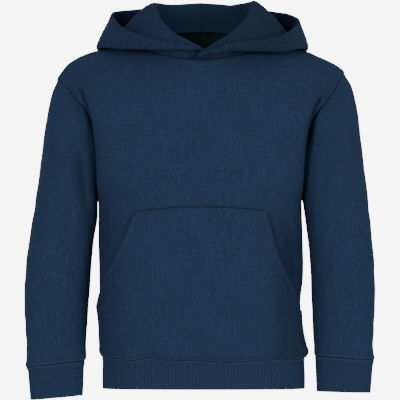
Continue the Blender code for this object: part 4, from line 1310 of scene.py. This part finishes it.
def stitch_mesh(name, lines, sizes, material, proud):
    """A row of short raised threads along each line of points and normals, joined as one mesh."""
    section = np.linspace(0, 1, STITCH_SECTIONS)
    angle = np.linspace(0, 2 * np.pi, STITCH_SIDES, endpoint=False)
    thread = proud * sizes.thread
    radius = thread / 2 * np.sqrt(1 - (2 * section - 1) ** 2 * STITCH_TAPER)
    lift = thread * (STITCH_ARCH * np.sin(np.pi * section) - STITCH_DIP)
    ring = np.arange(STITCH_SIDES)
    after = (ring + 1) % STITCH_SIDES
    strips = np.concatenate([
        np.stack([ring, after, after + STITCH_SIDES, ring + STITCH_SIDES], 1) + step * STITCH_SIDES
        for step in range(STITCH_SECTIONS - 1)
    ])
    caps = [ring[::-1], ring + (STITCH_SECTIONS - 1) * STITCH_SIDES]
    points, faces = [], []
    for line, normals in lines:
        travelled = lengths(line[None], 1)[0]
        amount = int(travelled[-1] / sizes.stitch)
        for index in range(amount):
            ends = (STITCH_ENDS + index) * travelled[-1] / amount
            start, end, up = (
                np.array([np.interp(at, travelled, values[:, axis]) for axis in range(3)])
                for at, values in ((ends[0], line), (ends[1], line), (ends.mean(), normals))
            )
            up = unit(up)
            along = end - start
            beside = unit(np.cross(along, up))
            centre = start + section[:, None] * along + lift[:, None] * up
            outwards = np.cos(angle)[:, None] * up + np.sin(angle)[:, None] * beside
            offset = len(points) * STITCH_SECTIONS * STITCH_SIDES
            points.append((centre[:, None] + radius[:, None, None] * outwards[None]).reshape(-1, 3))
            faces += (strips + offset).tolist() + [(cap + offset).tolist() for cap in caps]
    mesh = bpy.data.meshes.new(name)
    mesh.from_pydata(np.concatenate(points).tolist(), [], faces)
    made = add_closed(name, mesh, [material])
    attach(made, "root")


class HoodieSizes(bpy.types.PropertyGroup):
    """Sizes of the knit, the ribs and the stitches."""

    wale: FloatProperty(
        name="Wale", description="Width of a column of loops in the body cloth",
        default=1.25 * MM, unit="LENGTH"
    )
    waist_rib: FloatProperty(
        name="Waist rib", description="Distance between the waistband's ribs", default=4.4 * MM, unit="LENGTH"
    )
    cuff_rib: FloatProperty(
        name="Cuff rib", description="Distance between the cuffs' ribs", default=3.4 * MM, unit="LENGTH"
    )
    rib_depth: FloatProperty(
        name="Rib depth", description="From a rib's ridge to the valley beside it",
        default=0.55 * MM, unit="LENGTH"
    )
    stitch: FloatProperty(
        name="Stitch", description="Length of one stitch of topstitching", default=3.0 * MM, unit="LENGTH"
    )
    thread: FloatProperty(
        name="Thread", description="Thickness of the sewing thread", default=0.8 * MM, unit="LENGTH"
    )


class HoodieColours(bpy.types.PropertyGroup):
    """Colours of the cloths and the thread."""

    fleece: FloatVectorProperty(
        name="Fleece", description="Outer face of the body cloth",
        default=(0.0215, 0.047, 0.101), subtype="COLOR"
    )
    # The brushed inner face's colour is its own tone darkened with painted shade for the dim inside of the
    # garment.
    inside: FloatVectorProperty(
        name="Inside", description="Brushed inner face", default=(0.024, 0.037, 0.042), subtype="COLOR"
    )
    lining: FloatVectorProperty(
        name="Lining", description="Lining of the hood", default=(0.0205, 0.046, 0.100), subtype="COLOR"
    )
    rib: FloatVectorProperty(
        name="Rib", description="Cuffs and waistband", default=(0.0225, 0.047, 0.101), subtype="COLOR"
    )
    # The thread is lighter than the cloth: its own tone, lightened with painted highlight so the stitched
    # rows read as light dashes.
    thread: FloatVectorProperty(
        name="Thread", description="Sewing thread", default=(0.058, 0.103, 0.175), subtype="COLOR"
    )


class HoodieStudio(bpy.types.PropertyGroup):
    """The room round the garment."""

    distance: FloatProperty(
        name="Distance", description="From the camera to the garment's middle", default=10.0, unit="LENGTH"
    )
    view_width: FloatProperty(
        name="View width", description="What the camera takes in at the garment",
        default=508 * MM, unit="LENGTH"
    )
    aim_across: FloatProperty(
        name="Aim across", description="Where the camera aims, from the centre line",
        default=-0.64 * MM, unit="LENGTH"
    )
    aim_height: FloatProperty(
        name="Aim height", description="Where the camera aims", default=-190.5 * MM, unit="LENGTH"
    )
    floor_drop: FloatProperty(
        name="Floor drop", description="From the lowest cuff down to the floor",
        default=700 * MM, unit="LENGTH"
    )
    key: FloatProperty(
        name="Key light", description="Power of the soft light on the wearer's right",
        default=30.5, unit="POWER"
    )
    balance: FloatProperty(
        name="Balance", description="Share of that power in the light on the wearer's left", default=0.82
    )
    fill: FloatProperty(name="Fill", description="Strength of the even light of the room", default=0.42)


def settings(context):
    scene = context.scene
    return scene.hoodie_sizes, scene.hoodie_colours, scene.hoodie_studio


def finishes(context, *makers):
    """The materials of these makers, each made once and named after its maker."""
    sizes, colours, _ = settings(context)
    return [bpy.data.materials.get(maker.__name__) or maker(colours, sizes) for maker in makers]


def need(*names):
    """Stops an operator whose pieces are sewn to pieces that aren't made yet."""
    missing = [name for name in names if name not in PIECES]
    if missing:
        raise RuntimeError("make these pieces first: " + ", ".join(missing))


class HOODIE_OT_panels(bpy.types.Operator):
    """Cuts the front and back panels and folds them as they hang"""

    bl_idname = "hoodie.panels"
    bl_label = "Front and back panels"

    def execute(self, context):
        for face in (FRONT, BACK):
            make_panel(face, finishes(context, sweatshirt_face, brushed_inside))
        return {"FINISHED"}


class HOODIE_OT_sleeves(bpy.types.Operator):
    """Makes both set-in sleeves, from the armhole to the cuff seam"""

    bl_idname = "hoodie.sleeves"
    bl_label = "Sleeves"

    def execute(self, context):
        for side in (RIGHT, LEFT):
            make_sleeve(side, finishes(context, sweatshirt_face, brushed_inside))
        return {"FINISHED"}


class HOODIE_OT_ribs(bpy.types.Operator):
    """Knits the two cuffs and the waistband as ribbed bands with a folded lower edge"""

    bl_idname = "hoodie.ribs"
    bl_label = "Cuffs and waistband"

    def execute(self, context):
        sizes = settings(context)[0]
        faces = finishes(context, rib_face, rib_face)
        make_rib("waistband", waistband, (-1, 3), -1, WAISTBAND_LENGTH, sizes.waist_rib, sizes, faces)
        for side in (RIGHT, LEFT):
            name = "cuff_" + side_name(side)
            make_rib(name, partial(cuff, side), (0, 2), -side, CUFF_LENGTH, sizes.cuff_rib, sizes, faces)
        return {"FINISHED"}


class HOODIE_OT_pocket(bpy.types.Operator):
    """Lays the kangaroo pocket on the front panel, open at its two slanted sides"""

    bl_idname = "hoodie.pocket"
    bl_label = "Kangaroo pocket"

    def execute(self, context):
        need("front_panel")
        make_pocket(finishes(context, sweatshirt_face, brushed_inside))
        return {"FINISHED"}


class HOODIE_OT_hood(bpy.types.Operator):
    """Turns the lined hood down over the shoulders, in two halves that cross at the centre front"""

    bl_idname = "hoodie.hood"
    bl_label = "Hood and its lining"

    def execute(self, context):
        face, lining, inside = finishes(context, sweatshirt_face, hood_lining_face, brushed_inside)
        for side in (RIGHT, LEFT):
            make_hood(side, ((face, inside), (lining, inside)))
        return {"FINISHED"}


class HOODIE_OT_stitches(bpy.types.Operator):
    """Sews the rows of topstitching along the waist, cuffs, armholes, neck and pocket"""

    bl_idname = "hoodie.stitches"
    bl_label = "Topstitching"

    def execute(self, context):
        need("front_panel", "back_panel", "waistband", "kangaroo_pocket", "cuff_left", "sleeve_left")
        sizes = settings(context)[0]
        thread = finishes(context, sewing_thread)[0]

        def sew(seam, lines, side=""):
            stitch_mesh(seam + "_stitches" + side, lines, sizes, thread, PROUD[seam])

        at_waist = ("front_panel", "back_panel", "kangaroo_pocket", "waistband")
        sew("waist", [line_beside(name, "first_row", SEAM_STITCH) for name in at_waist])
        for side, column in ((RIGHT, "first_column"), (LEFT, "last_column")):
            end = "_" + side_name(side)
            sew("cuff", [
                line_beside("sleeve" + end, "last_row", SEAM_STITCH),
                line_beside("cuff" + end, "first_row", SEAM_STITCH),
            ], end)
            sew("armhole", [
                line_beside("sleeve" + end, "first_row", SEAM_STITCH, (ABOVE_TUCK, 2)),
                line_beside("front_panel", column, SEAM_STITCH, (1 + ABOVE_TUCK, 2)),
                line_beside("back_panel", column, SEAM_STITCH, (1, 2)),
            ], end)
        sew("neck", [line_beside("back_panel", "last_row", NECK_STITCH, (-NECK_SHARE, NECK_SHARE))])
        rows = [line_beside("kangaroo_pocket", "last_row", SEAM_STITCH)]
        for column in ("first_column", "last_column"):
            for distance in OPENING_STITCHES:
                rows.append(line_beside("kangaroo_pocket", column, distance, OPENING_ROWS))
        sew("pocket", rows)
        return {"FINISHED"}


FLOOR_HALF = 1.9  # half of the floor's width
BACKDROP_HALF, BACKDROP_BACK = 0.8, 11.5  # half of the backdrop's width, and how far back it stands
BACKDROP_GLOW = 7.5  # strength of its light
ROOM_LIGHT = (0.84, 0.88, 1.0, 1.0)
LIGHT_SIZE = (1.1, 1.4)
LIGHTS = {"left_light": (-1.2, -3.1, 0.15), "right_light": (2.0, -2.7, 0.15)}  # as the camera sees them
SENSOR = 36.0


def studio_material(name, colour, glow=0.0):
    """A matt material, or one that only glows."""
    material = bpy.data.materials.new(name)
    material.use_nodes = True
    nodes, links = material.node_tree.nodes, material.node_tree.links
    if glow:
        shader = nodes.new("ShaderNodeEmission")
        shader.inputs["Color"].default_value = (*colour, 1.0)
        shader.inputs["Strength"].default_value = glow
        links.new(shader.outputs[0], nodes["Material Output"].inputs["Surface"])
    else:
        shader = nodes["Principled BSDF"]
        shader.inputs["Base Color"].default_value = (*colour, 1.0)
        shader.inputs["Roughness"].default_value = 0.9
    return material


def soft_light(name, at, aim, power):
    data = bpy.data.lights.new(name, "AREA")
    data.shape = "RECTANGLE"
    data.size, data.size_y = LIGHT_SIZE
    data.energy = power
    light = add_object(name, data)
    light.location = at
    light.rotation_euler = (Vector(aim) - Vector(at)).to_track_quat("-Z", "Y").to_euler()


def square(name, middle, across, up, material):
    """A flat square of the room, given by its middle and half of each side."""
    middle, across, up = Vector(middle), Vector(across), Vector(up)
    corners = [middle - across - up, middle + across - up, middle + across + up, middle - across + up]
    mesh = bpy.data.meshes.new(name)
    mesh.from_pydata(corners, [], [(0, 1, 2, 3)])
    mesh.materials.append(material)
    add_object(name, mesh)


class HOODIE_OT_studio(bpy.types.Operator):
    """Sets the pale floor and backdrop, the soft lights and the camera"""

    bl_idname = "hoodie.studio"
    bl_label = "Studio"

    def execute(self, context):
        studio = settings(context)[2]
        floor = (0, 0, CAD_BOX[0][2] - studio.floor_drop)
        pale = studio_material("pale_floor", (0.8, 0.8, 0.8))
        square("floor", floor, (FLOOR_HALF, 0, 0), (0, FLOOR_HALF, 0), pale)
        world = context.scene.world or bpy.data.worlds.new("room")
        context.scene.world = world
        world.use_nodes = True
        background = world.node_tree.nodes["Background"]
        background.inputs["Color"].default_value = ROOM_LIGHT
        background.inputs["Strength"].default_value = studio.fill
        for (name, at), power in zip(LIGHTS.items(), (studio.key, studio.key * studio.balance)):
            soft_light(name, at, (0.0, 0.0, studio.aim_height), power)
        backdrop = studio_material("bright_backdrop", (1.0, 1.0, 1.0), BACKDROP_GLOW)
        square("backdrop", (0, BACKDROP_BACK, 0), (BACKDROP_HALF, 0, 0), (0, 0, BACKDROP_HALF), backdrop)
        data = bpy.data.cameras.new("camera")
        data.sensor_width = SENSOR
        data.lens = SENSOR * studio.distance / studio.view_width
        camera = add_object("camera", data)
        camera.location = (studio.aim_across, -studio.distance, studio.aim_height)
        camera.rotation_euler = (np.pi / 2, 0.0, 0.0)
        context.scene.camera = camera
        return {"FINISHED"}


class HOODIE_PT_panel(bpy.types.Panel):
    """Lists the hoodie's pieces, sizes and colours"""

    bl_idname = "HOODIE_PT_panel"
    bl_label = "Toddler hoodie"
    bl_space_type = "VIEW_3D"
    bl_region_type = "UI"
    bl_category = "Hoodie"

    def draw(self, context):
        layout = self.layout
        for operator in OPERATORS:
            layout.operator(operator.bl_idname)
        for group in settings(context):
            box = layout.box()
            for name in group.bl_rna.properties.keys():
                if name not in ("rna_type", "name"):
                    box.prop(group, name)


OPERATORS = (
    HOODIE_OT_panels, HOODIE_OT_sleeves, HOODIE_OT_ribs, HOODIE_OT_pocket, HOODIE_OT_hood, HOODIE_OT_stitches,
    HOODIE_OT_studio,
)
GROUPS = {"hoodie_sizes": HoodieSizes, "hoodie_colours": HoodieColours, "hoodie_studio": HoodieStudio}
CLASSES = (*GROUPS.values(), *OPERATORS, HOODIE_PT_panel)


def register():
    for part in CLASSES:
        bpy.utils.register_class(part)
    for name, group in GROUPS.items():
        setattr(bpy.types.Scene, name, PointerProperty(type=group))


def unregister():
    for name in GROUPS:
        delattr(bpy.types.Scene, name)
    for part in reversed(CLASSES):
        bpy.utils.unregister_class(part)


def main():
    register()
    bpy.ops.hoodie.studio()
    bpy.ops.hoodie.panels()
    bpy.ops.hoodie.sleeves()
    bpy.ops.hoodie.ribs()
    bpy.ops.hoodie.pocket()
    bpy.ops.hoodie.hood()
    bpy.ops.hoodie.stitches()


if __name__ == "__main__":
    main()
